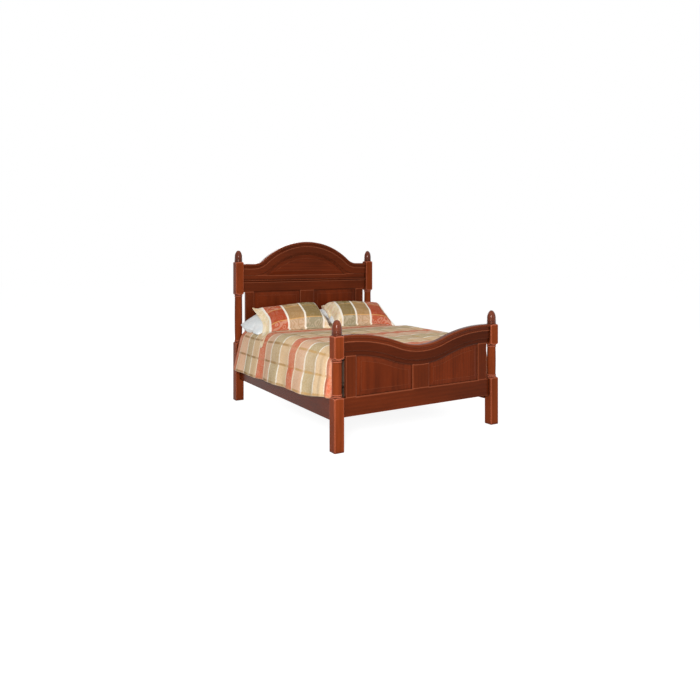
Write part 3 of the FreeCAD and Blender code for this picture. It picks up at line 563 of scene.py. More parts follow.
@dataclass(frozen=True)
class ComforterFinish(PlaidFinish):
    """Striped plaid of the comforter."""

    name: str = "comforter_plaid"
    first_red: float = 0.463
    repeat: float = 0.694
    row: float = QUILT_ROW
    row_centre: float = 0.0895
    row_width: float = 0.019

    def columns(self) -> list[tuple[float, Colour]]:
        """Lists the plaid's columns from a red one towards the foot.

        Returns:
            The start of each column as a share of the repeat, and its colour.
        """
        widths = [
            (0.126, Dye.BRICK), (0.018, Dye.CREAM), (0.164, Dye.PINK_TAN), (0.022, Dye.WHITE),
            (0.170, Dye.SAGE), (0.020, Dye.WHITE), (0.156, Dye.BEIGE), (0.018, Dye.CREAM),
        ]
        found, start = [], 0.0
        for width, dye in widths:
            found.append((start / self.repeat, dye.value))
            start += width
        return found

    def dress(self, paint: Paint) -> None:
        """Adds the plaid's nodes.

        Args:
            paint: The material's graph.
        """
        place = paint.cloth_place()
        x, y, _ = paint.parts(place)
        columns = self.columns()
        run = paint.sum("SUBTRACT", self.first_red, y)
        column = paint.sum("FRACT", paint.sum("DIVIDE", run, self.repeat))
        colour = paint.steps(column, columns)
        figure = paint.group(paint.effects.figure, {"Vector": place, "Scale": 30.0})[0]
        red = paint.sum("LESS_THAN", column, columns[1][0])
        away = paint.sum("ABSOLUTE", x)
        rows = paint.sum("DIVIDE", paint.sum("ADD", away, self.row_centre), self.row)
        odd = paint.sum("MODULO", paint.sum("FLOOR", rows), 2.0)
        fine = paint.spread(paint.noise(place, 6.0, 3.0), 0.35, 0.7)
        mottle = paint.spread(paint.noise(place, 48.0, 2.0), 0.40, 0.68)
        tints = ((Dye.PINK_TAN, odd, 0.16), (Dye.CREAM, fine, 0.14), (Dye.OCHRE, mottle, 0.20),
                 (Dye.CREAM, figure, 0.14))
        for dye, mask, amount in tints:
            colour = paint.tint(colour, dye.value, mask, amount)
        rung = {"Place": away, "Centre": self.row_centre, "Period": self.row, "Width": self.row_width,
                "Soft": 0.006}
        dash = {"Place": y, "Centre": self.first_red - 0.22, "Period": self.repeat / 4, "Width": 0.125,
                "Soft": 0.03}
        line, dashed = (paint.group(paint.effects.stripe, feeds)[0] for feeds in (rung, dash))
        yarn = paint.mix(paint.spread(y, -0.7, 0.5), Dye.OCHRE.value, Dye.BROWN.value)
        broken = paint.spread(paint.drawn(place, (10.0, 45.0, 1.0), 2.0), 0.25, 0.5, 0.45, 1.0)
        strength = paint.times(paint.spread(dashed, 0.0, 1.0, 0.35, 0.8), broken)
        strength = paint.times(strength, paint.spread(red, 0.0, 1.0, 1.0, 0.25))
        self.weave(paint, place, paint.tint(colour, yarn, line, strength), figure, (0.82, 0.66))


@dataclass(frozen=True)
class ShamFinish(PlaidFinish):
    """Broad plaid of a sham: columns of three rows each between pale lines, and a mottled pale border."""

    columns: tuple[tuple[Dye, Dye, Dye], ...]
    lines: tuple[float, ...]
    patch: Dye
    reach: float = 0.45
    upper_row: float = 0.039
    lower_row: float = -0.149
    line: float = 0.021
    rung: float = 0.009

    def stripe(self, paint: Paint, place: Socket, centre: float, width: float) -> Socket:
        """Gives the mask of one stripe across a coordinate."""
        feeds = {"Place": place, "Centre": centre, "Period": 4.0, "Width": width, "Soft": 0.002}
        return paint.group(paint.effects.stripe, feeds)[0]

    def dress(self, paint: Paint) -> None:
        """Adds the sham cloth's nodes.

        Args:
            paint: The material's graph.
        """
        place = paint.cloth_place()
        x, y, _ = paint.parts(place)
        across = paint.sum("ADD", paint.sum("DIVIDE", x, 2 * self.reach), 0.5)
        starts = [0.0] + [0.5 + line / (2 * self.reach) for line in self.lines]
        bands = []
        for row in range(3):
            dyes = [Dye.CREAM] + [column[row] for column in self.columns] + [Dye.CREAM]
            bands.append(paint.steps(across, [(start, dye.value) for start, dye in zip(starts, dyes)]))
        upper = paint.sum("GREATER_THAN", y, self.upper_row)
        lower = paint.sum("LESS_THAN", y, self.lower_row)
        colour = paint.mix(lower, paint.mix(upper, bands[1], bands[0]), bands[2])
        figure = paint.group(paint.effects.figure, {"Vector": place, "Scale": 20.0})[0]
        shown = paint.spread(paint.sum("ADD", upper, lower), 0.0, 1.0, 0.06, 0.26)
        colour = paint.tint(colour, Dye.CREAM.value, figure, shown)
        blotch = paint.spread(paint.noise(place, 30.0, 2.0), 0.38, 0.66)
        colour = paint.tint(colour, Dye.OLIVE.value, blotch, 0.12)
        rungs = [self.stripe(paint, y, row, self.rung) for row in (self.upper_row, self.lower_row)]
        colour = paint.tint(colour, Dye.GOLD.value, paint.sum("MAXIMUM", *rungs), 0.8)
        border = paint.mix(blotch, Dye.CREAM.value, Dye.BUTTER.value)
        spot = paint.spread(paint.noise(place, 11.0, 1.0), 0.50, 0.66, 0.0, 0.4)
        border = paint.mix(spot, border, self.patch.value)
        left = paint.sum("LESS_THAN", x, self.lines[0])
        right = paint.sum("GREATER_THAN", x, self.lines[-1])
        colour = paint.mix(paint.sum("MAXIMUM", left, right), colour, border)
        for line in self.lines:
            colour = paint.mix(self.stripe(paint, x, line, self.line), colour, Dye.WHITE.value)
        self.weave(paint, place, colour, figure, (0.80, 0.62))



def new_object(bm: bmesh.types.BMesh, name: str, *materials: bpy.types.Material) -> bpy.types.Object:
    """Turns a bmesh into a smooth-shaded object in the scene.

    Args:
        bm: The mesh, which is freed.
        name: The object's name.
        *materials: Its materials, in slot order.

    Returns:
        The object.
    """
    for face in bm.faces:
        face.smooth = True
    mesh = bpy.data.meshes.new(name)
    bm.to_mesh(mesh)
    bm.free()
    mesh.set_sharp_from_angle(angle=math.radians(50))
    for material in materials:
        mesh.materials.append(material)
    made = bpy.data.objects.new(name, mesh)
    bpy.context.scene.collection.objects.link(made)
    return made


def soften(piece: bpy.types.Object) -> None:
    """Smooths a piece by one level of subdivision."""
    soft = piece.modifiers.new("Soft", "SUBSURF")
    soft.levels = soft.render_levels = 1


def of_kind(items: list[Any], kind: type) -> list[Any]:
    """Picks the items of one kind out of what a bmesh operator gives."""
    return [item for item in items if isinstance(item, kind)]


def flat_cloth(length: float, width: float, cell: float, centre: float = 0.0) -> bmesh.types.BMesh:
    """Cuts a flat cloth whose own coordinates are its flat places in metres.

    Args:
        length: Its size along X.
        width: Its size along Y.
        cell: About how far apart its points lie.
        centre: Where its middle lies along Y.

    Returns:
        The cloth.
    """
    bm = bmesh.new()
    columns, rows = round(length / cell), round(width / cell)
    bmesh.ops.create_grid(bm, x_segments=columns, y_segments=rows, size=0.5)
    bmesh.ops.scale(bm, vec=(length, width, 1.0), verts=bm.verts)
    bmesh.ops.translate(bm, vec=(0.0, centre, 0.0), verts=bm.verts)
    layer = bm.loops.layers.uv.new(CLOTH_UV)
    for face in bm.faces:
        for loop in face.loops:
            loop[layer].uv = loop.vert.co.xy
    return bm


@dataclass
class Inflation:
    """Pressure that fills a sewn cloth case."""

    pressure: float = 5.0
    frames: int = 26
    quality: int = 6
    mass: float = 0.2
    stiffness: float = 14.0
    shear: float = 6.0
    bending: float = 0.6
    damping: float = 12.0
    air: float = 4.0

    def run(self, case: bpy.types.Object) -> None:
        """Simulates the filling and leaves its result in the object's mesh.

        Args:
            case: The flat case; its vertex group marks what the filling pushes on.
        """
        scene = bpy.context.scene
        modifier = case.modifiers.new("Filling", "CLOTH")
        values = {
            "quality": self.quality, "mass": self.mass,
            "tension_stiffness": self.stiffness, "compression_stiffness": self.stiffness,
            "shear_stiffness": self.shear, "bending_stiffness": self.bending,
            "tension_damping": self.damping, "compression_damping": self.damping, "air_damping": self.air,
            "use_pressure": True, "uniform_pressure_force": self.pressure, "vertex_group_pressure": FILLED,
            "use_sewing_springs": True,
        }
        for name, value in values.items():
            setattr(modifier.settings, name, value)
        modifier.settings.effector_weights.gravity = 0.0
        modifier.collision_settings.use_collision = False
        modifier.point_cache.frame_start = 1
        modifier.point_cache.frame_end = self.frames
        for step in range(1, self.frames + 1):
            scene.frame_set(step)
        evaluated = case.evaluated_get(bpy.context.evaluated_depsgraph_get())
        result = bpy.data.meshes.new_from_object(evaluated)
        case.modifiers.clear()
        flat = case.data
        case.data = result
        bpy.data.meshes.remove(flat)
        scene.frame_set(1)


@dataclass(kw_only=True)
class SewnCase:
    """A cloth case sewn from two flat pieces, filled, and laid in its place on the bed."""

    node: str
    yaw: float
    tilt: float
    length: float
    width: float
    flange: float
    front: float
    back: float
    fullness: float
    evenness: float
    passes: int
    spare: float = 1.07
    cell: float = 0.0125
    gap: float = 0.004
    sink: float = 0.004
    clearance: float = 0.001
    smoothing: float = 0.3

    def flat_case(self) -> bpy.types.Object:
        """Sews the two flat pieces together.

        Returns:
            The flat case, its outer edge closed and its flange stitched by loose edges.
        """
        long, wide = self.length * self.spare, self.width * self.spare
        bm = flat_cloth(long, wide, self.cell)
        twin = bmesh.ops.duplicate(bm, geom=bm.verts[:] + bm.edges[:] + bm.faces[:])["geom"]
        under = set(of_kind(twin, bmesh.types.BMVert))
        bmesh.ops.reverse_faces(bm, faces=of_kind(twin, bmesh.types.BMFace))
        seam_x, seam_y = long / 2 - self.flange, wide / 2 - self.flange
        for vert in bm.verts:
            inset = min(long / 2 - abs(vert.co.x), wide / 2 - abs(vert.co.y))
            rise = self.gap * ease(inset, 0.0, 0.02)
            vert.co.z = -rise if vert in under else rise
        pairs = self.stitches(bm, seam_x, seam_y) if self.flange else []
        bmesh.ops.remove_doubles(bm, verts=bm.verts, dist=0.0005)
        for pair in pairs:
            bm.edges.new(pair)
        bm.verts.index_update()
        inside = [v.index for v in bm.verts if abs(v.co.x) < seam_x and abs(v.co.y) < seam_y]
        case = new_object(bm, f"{self.node}_case")
        case.vertex_groups.new(name=FILLED).add(inside, 1.0, "ADD")
        return case

    def stitches(self, bm: bmesh.types.BMesh, seam_x: float, seam_y: float) -> list[list[bmesh.types.BMVert]]:
        """Pairs the front and back points along the flange's seam.

        Args:
            bm: The two layers.
            seam_x: Half the seam's length.
            seam_y: Half the seam's width.

        Returns:
            The pairs to stitch.
        """
        half = self.cell / 2
        found: dict[tuple[int, int], list[bmesh.types.BMVert]] = {}
        for vert in bm.verts:
            on_end = abs(abs(vert.co.x) - seam_x) <= half and abs(vert.co.y) <= seam_y + half
            on_side = abs(abs(vert.co.y) - seam_y) <= half and abs(vert.co.x) <= seam_x + half
            if on_end or on_side:
                key = (round(vert.co.x * 1e4), round(vert.co.y * 1e4))
                found.setdefault(key, []).append(vert)
        return [pair for pair in found.values() if len(pair) == 2]

    def placement(self) -> Matrix:
        """Gives where the case lies, from its CAD node.

        Returns:
            The matrix from the case's own axes to the bed's.
        """
        low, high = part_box(self.node)
        centre = (low + high) / 2
        if self.flange:
            centre.z = low.z + (self.width / 2 - self.flange) * math.sin(self.tilt) - self.sink
        turn = Matrix.Rotation(self.yaw, 4, "Z") @ Matrix.Rotation(self.tilt, 4, "X")
        return Matrix.Translation(centre) @ turn

    def lifted(self, share: float) -> float:
        """Gives a point's height as a share of the rise, fuller near the seam where the case is packed."""
        return share + ease(share, 0.02, 0.14) * (share**self.fullness - share)

    def fitted(self, bm: bmesh.types.BMesh, flat: list[Vector]) -> None:
        """Brings the filled case to its real length, width and rise.

        Args:
            bm: The filled case, in its own axes.
            flat: Where each of its points lay before the filling.
        """
        halves = (self.length / 2, self.width / 2)
        spans = [max(abs(v.co[axis]) for v in bm.verts) for axis in range(2)]
        high = max(v.co.z for v in bm.verts)
        low = -min(v.co.z for v in bm.verts)
        for vert, before in zip(bm.verts, flat):
            for axis in range(2):
                drawn = vert.co[axis] / spans[axis] * halves[axis]
                vert.co[axis] = drawn + self.evenness * (before[axis] / self.spare - drawn)
            z = vert.co.z
            vert.co.z = self.front * self.lifted(z / high) if z > 0 else self.back * z / low

    def relaxed(self, point: Vector) -> Vector:
        """Moves a point of the fitted case, in its own axes, before the case is laid down."""
        return point

    def build(self, rest: "Comforter", cover: bpy.types.Material, slot: str) -> bpy.types.Object:
        """Makes the case, fills it and lays it on the bed.

        Args:
            rest: What it lies on.
            cover: Its cloth.
            slot: Not used.

        Returns:
            The object.
        """
        case = self.flat_case()
        flat = [vert.co.copy() for vert in case.data.vertices]
        Inflation().run(case)
        bm = bmesh.new()
        bm.from_mesh(case.data)
        loose = [edge for edge in bm.edges if not edge.link_faces]
        bmesh.ops.delete(bm, geom=loose, context="EDGES")
        self.fitted(bm, flat)
        place = self.placement()
        for vert in bm.verts:
            vert.co = place @ self.relaxed(vert.co)
        for _ in range(self.passes):
            for vert in bm.verts:
                vert.co.z = max(vert.co.z, rest.height(vert.co.x, vert.co.y) + self.clearance)
            bmesh.ops.smooth_vert(
                bm, verts=bm.verts, factor=self.smoothing, use_axis_x=True, use_axis_y=True, use_axis_z=True
            )
        for face in bm.faces:
            face.smooth = True
        bm.to_mesh(case.data)
        bm.free()
        case.vertex_groups.clear()
        case.data.materials.append(cover)
        soften(case)
        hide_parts(self.node)
        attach(case, self.node)
        return case


@dataclass(kw_only=True)
class Pillow(SewnCase):
    """A plain pillow propped against the headboard, limp at its outer end."""

    tilt: float = math.radians(18)
    length: float = 0.724
    width: float = 0.474
    flange: float = 0.0
    front: float = 0.054
    back: float = 0.042
    fullness: float = 0.6
    evenness: float = 0.3
    passes: int = 6
    outer_end: int
    rounding: float = 0.42
    settle: float = 0.13
    limp_from: float = 0.10
    limp_drop: float = 0.095
    limp_twist: float = 0.17

    def relaxed(self, point: Vector) -> Vector:
        """Rounds the corners, settles the underside on the bed and hangs the outer end over the bed's edge.

        Args:
            point: The point, in the pillow's own axes.

        Returns:
            Where it comes to lie.
        """
        along, beside = point.x / (self.length / 2), point.y / (self.width / 2)
        x = point.x * math.sqrt(1 - self.rounding * beside**2 / 2)
        y = point.y * math.sqrt(1 - self.rounding * along**2 / 2)
        z = point.z
        if z < 0:
            z -= self.settle * ease(y, -0.2, 0.2) * ease(-z, 0.0, 0.04)
        limp = ease(x * self.outer_end, self.limp_from, self.length / 2)
        return Vector((x, y, z - limp * (self.limp_drop + self.limp_twist * y)))


@dataclass(kw_only=True)
class Sham(SewnCase):
    """A flanged sham that lies over the pillow, its limp flange bent down."""

    tilt: float = math.radians(26)
    length: float = 0.764
    width: float = 0.526
    flange: float = 0.048
    front: float = 0.128
    back: float = 0.006
    fullness: float = 0.7
    evenness: float = 0.75
    passes: int = 2
    end_bends: Pair
    side_bends: Pair = (math.radians(75), math.radians(80))
    hinge: float = 0.03
    pressed: float = 0.85
    sinking: float = 0.02
    lean: float
    lobe: float
    lobe_end: int
    lobe_slide: float = 1.8
    lobe_drop: float = 0.7

    def bend(self, out: float, angle: float) -> Pair:
        """Bends the flange.

        Args:
            out: How far outside the seam the point lies.
            angle: How far the flange is bent.

        Returns:
            How much the point draws in, and how far it drops.
        """
        if out <= 0:
            return 0.0, 0.0
        turned = angle * ease(out, 0.0, self.hinge)
        return out * (1 - math.cos(turned)), out * math.sin(turned)

    def relaxed(self, point: Vector) -> Vector:
        """Bends the flange, lets the filling sink a little and one corner hang over the bed's edge.

        Args:
            point: The point, in the sham's own axes.

        Returns:
            Where it comes to lie.
        """
        seam_x, seam_y = self.length / 2 - self.flange, self.width / 2 - self.flange
        x, y, z = point
        z *= 1 + self.lean * x / seam_x
        z *= 1 - self.pressed * ease(max(abs(x) - seam_x, abs(y) - seam_y), 0.0, 0.02)
        inner = ease(abs(x), seam_x + self.hinge, seam_x - self.hinge)
        end_in, end_drop = self.bend(abs(x) - seam_x, self.end_bends[x > 0])
        side_in, side_drop = self.bend(abs(y) - seam_y, self.side_bends[y > 0] * inner)
        sunk = self.sinking * max(0.0, z) / self.front * ease(y, 0.2, -0.2)
        lobe = self.lobe * ease(x * self.lobe_end, 0.20, self.length / 2) * ease(-y, 0.08, self.width / 2)
        return Vector((
            math.copysign(abs(x) - end_in, x) + lobe * self.lobe_end,
            math.copysign(abs(y) - side_in, y) - sunk - self.lobe_slide * lobe,
            z - end_drop - side_drop - self.lobe_drop * lobe,
        ))


@dataclass
class Comforter:
    """Quilted comforter over the mattress: round shoulders, flared sides and a tuck inside the footboard."""

    half_width: float = 1.18
    head: float = 1.014
    foot: float = -1.016
    gather: float = 0.12
    tuck: float = 0.40
    tuck_half_width: float = 0.700
    tuck_round: float = 0.030
    flap: float = 0.065
    corner: float = 0.792
    thick: float = 0.022
    cell: float = 0.024
    row: float = QUILT_ROW

    def __post_init__(self) -> None:
        """Reads the height of the top from the CAD node."""
        self.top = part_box("comforter")[1].z

    def skew(self, v: float) -> float:
        """How far the cloth lies off the middle at v, because it isn't quite square on the bed."""
        return 0.026 * ease(v, -0.9, 0.9) - 0.004

    def shoulder(self, v: float) -> float:
        """Radius of the round from the top to the side at v."""
        return 0.115 + 0.045 * ease(v, -0.1, 0.9)

    def flare(self, v: float) -> float:
        """Angle at which the side stands out at v."""
        return math.radians(9.0 + 4.0 * ease(v, 0.45, 1.0) - 1.5 * ease(v, -0.4, -1.0))

    def start(self, v: float) -> float:
        """How far off the middle the round starts at v."""
        return self.corner - self.shoulder(v) * math.tan((math.pi / 2 - self.flare(v)) / 2)

    def swell(self, u: float, v: float) -> float:
        """How far the top stands above its level: filling, quilting and slow waves.

        Args:
            u: Place across the bed.
            v: Place along the bed.

        Returns:
            The height, which is even under the pillows.
        """
        bare = ease(v, 0.34, 0.12)
        slow = 0.007 * noise.noise(Vector((u * 2.6, v * 2.6, 0.3)))
        crown = 0.009 * ease(v, 0.5, 0.0) * ease(v, -1.0, -0.6)
        ridge = 0.009 * abs(math.sin(math.pi * (abs(u) - self.row / 2) / self.row)) ** 0.7
        return bare * (slow + crown + ridge) - 0.003 * (1 - bare)

    def fold(self, v: float, hang: float) -> float:
        """How far the side stands out of its plane: slow waves, and a gather near the foot.

        Args:
            v: Place along the bed.
            hang: Share of the side's drop.

        Returns:
            The distance.
        """
        waves = 0.010 * math.sin(v * 12.6 + 0.7) + 0.006 * math.sin(v * 25.0 + 2.0)
        gather = 0.013 * ease(v, -0.62, -1.0) * math.sin((v - self.foot) * 52.0)
        return hang**1.4 * waves + hang**0.6 * gather

    def place(self, u: float, v: float) -> Vector:
        """Where a point of the flat cloth lies on the bed.

        Args:
            u: Its flat place across the bed.
            v: Its flat place along the bed.

        Returns:
            The point on the outer face.
        """
        s = u - self.skew(v)
        side, along = math.copysign(1.0, s), abs(s)
        beside = ease(along, 0.70, 0.84)
        drop, y = 0.0, v - self.gather * ease(v, 0.45, self.head + self.gather)
        bend = self.foot + self.tuck_round * 0.4 + 0.014 * beside
        if v < bend:
            angle = min(math.pi / 2, (bend - v) / self.tuck_round)
            run = max(0.0, bend - v - self.tuck_round * math.pi / 2)
            y = bend - self.tuck_round * math.sin(angle)
            drop = self.tuck_round * (1 - math.cos(angle)) + run
        radius, flare, start = self.shoulder(v), self.flare(v), self.start(v)
        turn = math.pi / 2 - flare
        angle = min(turn, max(0.0, (along - start) / radius))
        run = max(0.0, along - start - radius * turn) * (1 - 0.16 * ease(v, -0.55, -1.0))
        x = min(along, start) + radius * math.sin(angle) + run * math.sin(flare)
        z = self.top - radius * (1 - math.cos(angle)) - run * math.cos(flare)
        hang = max(0.0, along - start) / (self.half_width - start)
        out = self.fold(v, hang) + self.swell(u, v) * (1 if v > bend else 0)
        x += out * math.sin(angle) - drop * math.sin(angle * beside)
        z += out * math.cos(angle) - drop * math.cos(angle * beside)
        return Vector((side * x, y, z))

    def height(self, x: float, y: float) -> float:
        """Height of the top under a point of the bed.

        Args:
            x: The point's place across the bed.
            y: Its place along the bed.

        Returns:
            The height.
        """
        radius = self.shoulder(y)
        over = min(radius, max(0.0, abs(x) - self.start(y)))
        return self.top + self.swell(x, y) - (radius - math.sqrt(radius**2 - over**2))

    def build(self, effects: Effects) -> bpy.types.Object:
        """Makes the comforter.

        Args:
            effects: The shared node groups.

        Returns:
            The object.
        """
        finishes = (
            ComforterFinish(),
            ClothFinish("comforter_lining", tone(206, 190, 150), tone(190, 172, 130)),
            ClothFinish("comforter_binding", tone(232, 206, 176), tone(214, 184, 150)),
        )
        head = self.head + self.gather
        length = head - self.foot + self.tuck
        bm = flat_cloth(2 * self.half_width, length, self.cell, head - length / 2)
        middles = {face: face.calc_center_median() for face in bm.faces}
        outside = [
            face for face, middle in middles.items()
            if middle.y < self.foot - self.flap and abs(middle.x) > self.tuck_half_width
        ]
        bmesh.ops.delete(bm, geom=outside, context="FACES")
        for vert in bm.verts:
            vert.co = self.place(vert.co.x, vert.co.y)
        bmesh.ops.recalc_face_normals(bm, faces=bm.faces)
        made = new_object(bm, "comforter_quilt", *(finish.material(effects) for finish in finishes))
        wall = made.modifiers.new("Filling", "SOLIDIFY")
        wall.thickness = self.thick
        wall.offset = -1.0
        wall.use_even_offset = True
        wall.material_offset = 1
        wall.material_offset_rim = 2
        soften(made)
        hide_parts("comforter")
        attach(made, "bedding")
        return made


@dataclass
class MattressSet:
    """Mattress and box spring: rounded upholstered blocks with a corded edge."""

    corner: float = 0.060
    mattress_edge: float = 0.045
    spring_edge: float = 0.016
    cord: float = 0.012
    cord_proud: float = 0.005

    def block(self, name: str, node: str, edge: float, *materials: bpy.types.Material) -> bpy.types.Object:
        """Makes one upholstered block in its CAD node's place.

        Args:
            name: The piece's name.
            node: The CAD node that it stands for.
            edge: Radius of its rolled edges.
            *materials: Its cover, its cord and its underside.

        Returns:
            The object.
        """
        low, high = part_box(node)
        shrink = Vector((self.cord_proud, self.cord_proud, 0.0))
        size, centre = high - low - 2 * shrink, (high + low) / 2
        bm = bmesh.new()
        bmesh.ops.create_cube(bm, size=1.0)
        bmesh.ops.scale(bm, vec=size, verts=bm.verts)
        bmesh.ops.translate(bm, vec=centre, verts=bm.verts)
        bevel = {"affect": "EDGES", "profile": 0.5, "material": -1}
        upright = [e for e in bm.edges if abs(e.verts[0].co.z - e.verts[1].co.z) > size.z / 2]
        bmesh.ops.bevel(bm, geom=upright, offset=self.corner, segments=8, **bevel)
        level = [e for e in bm.edges if abs(e.verts[0].co.z - e.verts[1].co.z) < 1e-6]
        inner = [e for e in level if len(e.link_faces) == 2]
        rims = [e for e in inner if any(abs(f.normal.z) > 0.9 for f in e.link_faces)]
        bmesh.ops.bevel(bm, geom=rims, offset=edge, segments=5, **bevel)
        for height in (low.z + edge, high.z - edge):
            self.add_cord(bm, height)
        for face in bm.faces:
            if face.calc_center_median().z < low.z + 0.002:
                face.material_index = 2
        bmesh.ops.recalc_face_normals(bm, faces=bm.faces)
        made = new_object(bm, name, *materials)
        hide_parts(node)
        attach(made, "bedding")
        return made

    def add_cord(self, bm: bmesh.types.BMesh, height: float) -> None:
        """Raises a cord round a block.

        Args:
            bm: The block.
            height: Where the cord runs.
        """
        for cut in (height - self.cord / 2, height + self.cord / 2):
            everything = bm.verts[:] + bm.edges[:] + bm.faces[:]
            bmesh.ops.bisect_plane(bm, geom=everything, dist=1e-5, plane_co=(0, 0, cut), plane_no=(0, 0, 1))
        near = [f for f in bm.faces if abs(f.calc_center_median().z - height) < self.cord * 0.45]
        ring = [f for f in near if abs(f.normal.z) < 0.5]
        raised = bmesh.ops.extrude_face_region(bm, geom=ring)["geom"]
        for vert in of_kind(raised, bmesh.types.BMVert):
            away = Vector((vert.normal.x, vert.normal.y, 0.0))
            vert.co += away.normalized() * self.cord_proud
        bmesh.ops.delete(bm, geom=ring, context="FACES_ONLY")
        for face in of_kind(raised, bmesh.types.BMFace):
            face.material_index = 1

    def build(self, effects: Effects) -> list[bpy.types.Object]:
        """Makes both blocks.

        Args:
            effects: The shared node groups.

        Returns:
            The mattress and the box spring.
        """
        # The ticking and tape are a dark taupe as painted shade, so the gap between the foot post and the
        # footboard's stile stays dark.
        cover, border, tape, dust = (finish.material(effects) for finish in (
            ClothFinish(
                "mattress_ticking", tone(122, 98, 82), tone(104, 82, 68), figure_share=0.5, quilt=28.0
            ),
            ClothFinish("box_spring_ticking", tone(104, 82, 68), tone(86, 66, 54)),
            ClothFinish("edge_tape_painted_shade", tone(92, 72, 60), tone(76, 58, 48)),
            ClothFinish("dust_cover", tone(74, 74, 78), tone(58, 58, 62)),
        ))
        mattress = self.block("mattress_block", "mattress", self.mattress_edge, cover, tape, cover)
        spring = self.block("box_spring_block", "box_spring", self.spring_edge, border, tape, dust)
        return [mattress, spring]


@dataclass
class PillowSet:
    """The two plain pillows and the two shams that lie over them, each pair of values left and right."""

    pillow_yaws: Pair = (math.radians(4), math.radians(-4))
    sham_yaws: Pair = (math.radians(-4), math.radians(-9.5))
    left_lines: tuple[float, ...] = (-0.317, -0.126, 0.070, 0.282)
    right_lines: tuple[float, ...] = (-0.265, -0.090, 0.092, 0.325)
    leans: Pair = (0.36, -0.22)
    lobes: Pair = (0.105, 0.06)
    left_bends: Pair = (math.radians(14), math.radians(70))
    right_bends: Pair = (math.radians(72), math.radians(48))

    def build(self, effects: Effects, rest: Comforter) -> list[bpy.types.Object]:
        """Makes the pillows and the shams.

        Args:
            effects: The shared node groups.
            rest: The comforter that they lie on.

        Returns:
            The objects.
        """
        cotton = ClothFinish(
            "pillow_cotton", tone(249, 250, 248), tone(232, 237, 238), pitch=0.0011, figure_scale=16.0,
            figure_share=0.3,
        ).material(effects)
        red = (Dye.CORAL, Dye.TERRACOTTA, Dye.CORAL)
        tan = (Dye.TAN, Dye.TAN, Dye.PINK_BEIGE)
        olive = (Dye.OLIVE, Dye.OLIVE_BROWN, Dye.GREY_SAGE)
        finishes = (
            ShamFinish("sham_left_plaid", (red, tan, olive), self.left_lines, Dye.GOLD),
            ShamFinish("sham_right_plaid", (olive, tan, red), self.right_lines, Dye.SALMON),
        )
        made = []
        for k, (name, way) in enumerate((("left", -1), ("right", 1))):
            pillow = Pillow(node=f"pillow_{name}", yaw=self.pillow_yaws[k], outer_end=way)
            sham = Sham(
                node=f"sham_{name}", yaw=self.sham_yaws[k], lean=self.leans[k], lobe=self.lobes[k],
                lobe_end=way, end_bends=(self.left_bends[k], self.right_bends[k]),
            )
            made.append(pillow.build(rest, cotton, "pillow_cotton"))
            made.append(sham.build(rest, finishes[k].material(effects), "sham_plaid"))
        return made


@dataclass
class Joinery:
    """The wooden frame and its hardware: CAD nodes, each with its finish."""

    # Reach of the painted shade in the turnings' grooves, and of the painted highlight on the posts' edges.
    turned_crease: float = 0.030
    post_arris: float = 0.015
    panel_banding: float = 0.24
    rules: tuple[tuple[str, tuple[str, ...]], ...] = (
        ("steel", ("plates", "screws")),
        ("slat", ("slat_",)),
        ("long", ("side_rail", "ledger_strip")),
        ("lunette", ("lunette",)),
        ("panel", ("board_panel",)),
        ("finial", ("finial",)),
        ("post", ("board_post",)),
        ("upright", ("stile", "mullion")),
        # The footboard's top rail and band take the darker tone, painted shade under the cap.
        ("rail", ("footboard_top_rail", "footboard_band")),
    )

    def finishes(self) -> dict[str, Finish]:
        """Lists the finishes of the frame.

        Returns:
            The finishes, by a short name.
        """
        return {
            # Posts get a strong painted highlight on edges and upward faces; finials a weak one, with a real
            # glossy sheen.
            "post": WoodFinish(
                "cherry_post", Grain.UPRIGHT, Timber.POST, specular=0.04, highlight_colour=tone(206, 116, 88), highlight_share=0.8,
                moulding_highlight=0.0, crest=0.56, crease=self.turned_crease, arris=self.post_arris,
            ),
            "finial": WoodFinish(
                "cherry_finial", Grain.UPRIGHT, Timber.FINIAL, roughness=0.24, specular=0.30,
                sheen=(1.0, 0.78, 0.70, 1.0), highlight_share=0.25, moulding_highlight=0.0, crease=self.turned_crease,
            ),
            "upright": WoodFinish("cherry_upright", Grain.UPRIGHT, Timber.BOARD),
            "cross": WoodFinish("cherry_crosswise", Grain.CROSSWISE, Timber.BOARD),
            # Painted shade under the footboard's cap.
            "rail": WoodFinish("cherry_rail_painted_shade", Grain.CROSSWISE, Timber.RAIL_PAINTED_SHADE),
            "long": WoodFinish("cherry_lengthwise", Grain.LENGTHWISE, Timber.BOARD),
            "panel": WoodFinish("cherry_panel", Grain.UPRIGHT, Timber.PANEL, self.panel_banding),
            "lunette": WoodFinish("cherry_lunette", Grain.CROSSWISE, Timber.PANEL, self.panel_banding),
            "slat": WoodFinish(
                "pine_crosswise", Grain.CROSSWISE, Timber.PINE, banding=0.4, roughness=0.62, specular=0.3,
                highlight_share=0.0,
            ),
            "steel": SteelFinish(),
        }

    def finish_of(self, node: str) -> str:
        """Gives the short name of a CAD node's finish."""
        return next((name for name, words in self.rules if any(word in node for word in words)), "cross")

    def dress(self, effects: Effects, nodes: dict[str, bpy.types.Object]) -> list[bpy.types.Object]:
        """Gives every wooden and steel node its finish.

        Args:
            effects: The shared node groups.
            nodes: The CAD nodes of the frame's body.

        Returns:
            The nodes.
        """
        materials = {name: finish.material(effects) for name, finish in self.finishes().items()}
        for name, node in nodes.items():
            node.data.materials.clear()
            node.data.materials.append(materials[self.finish_of(name)])
        return list(nodes.values())


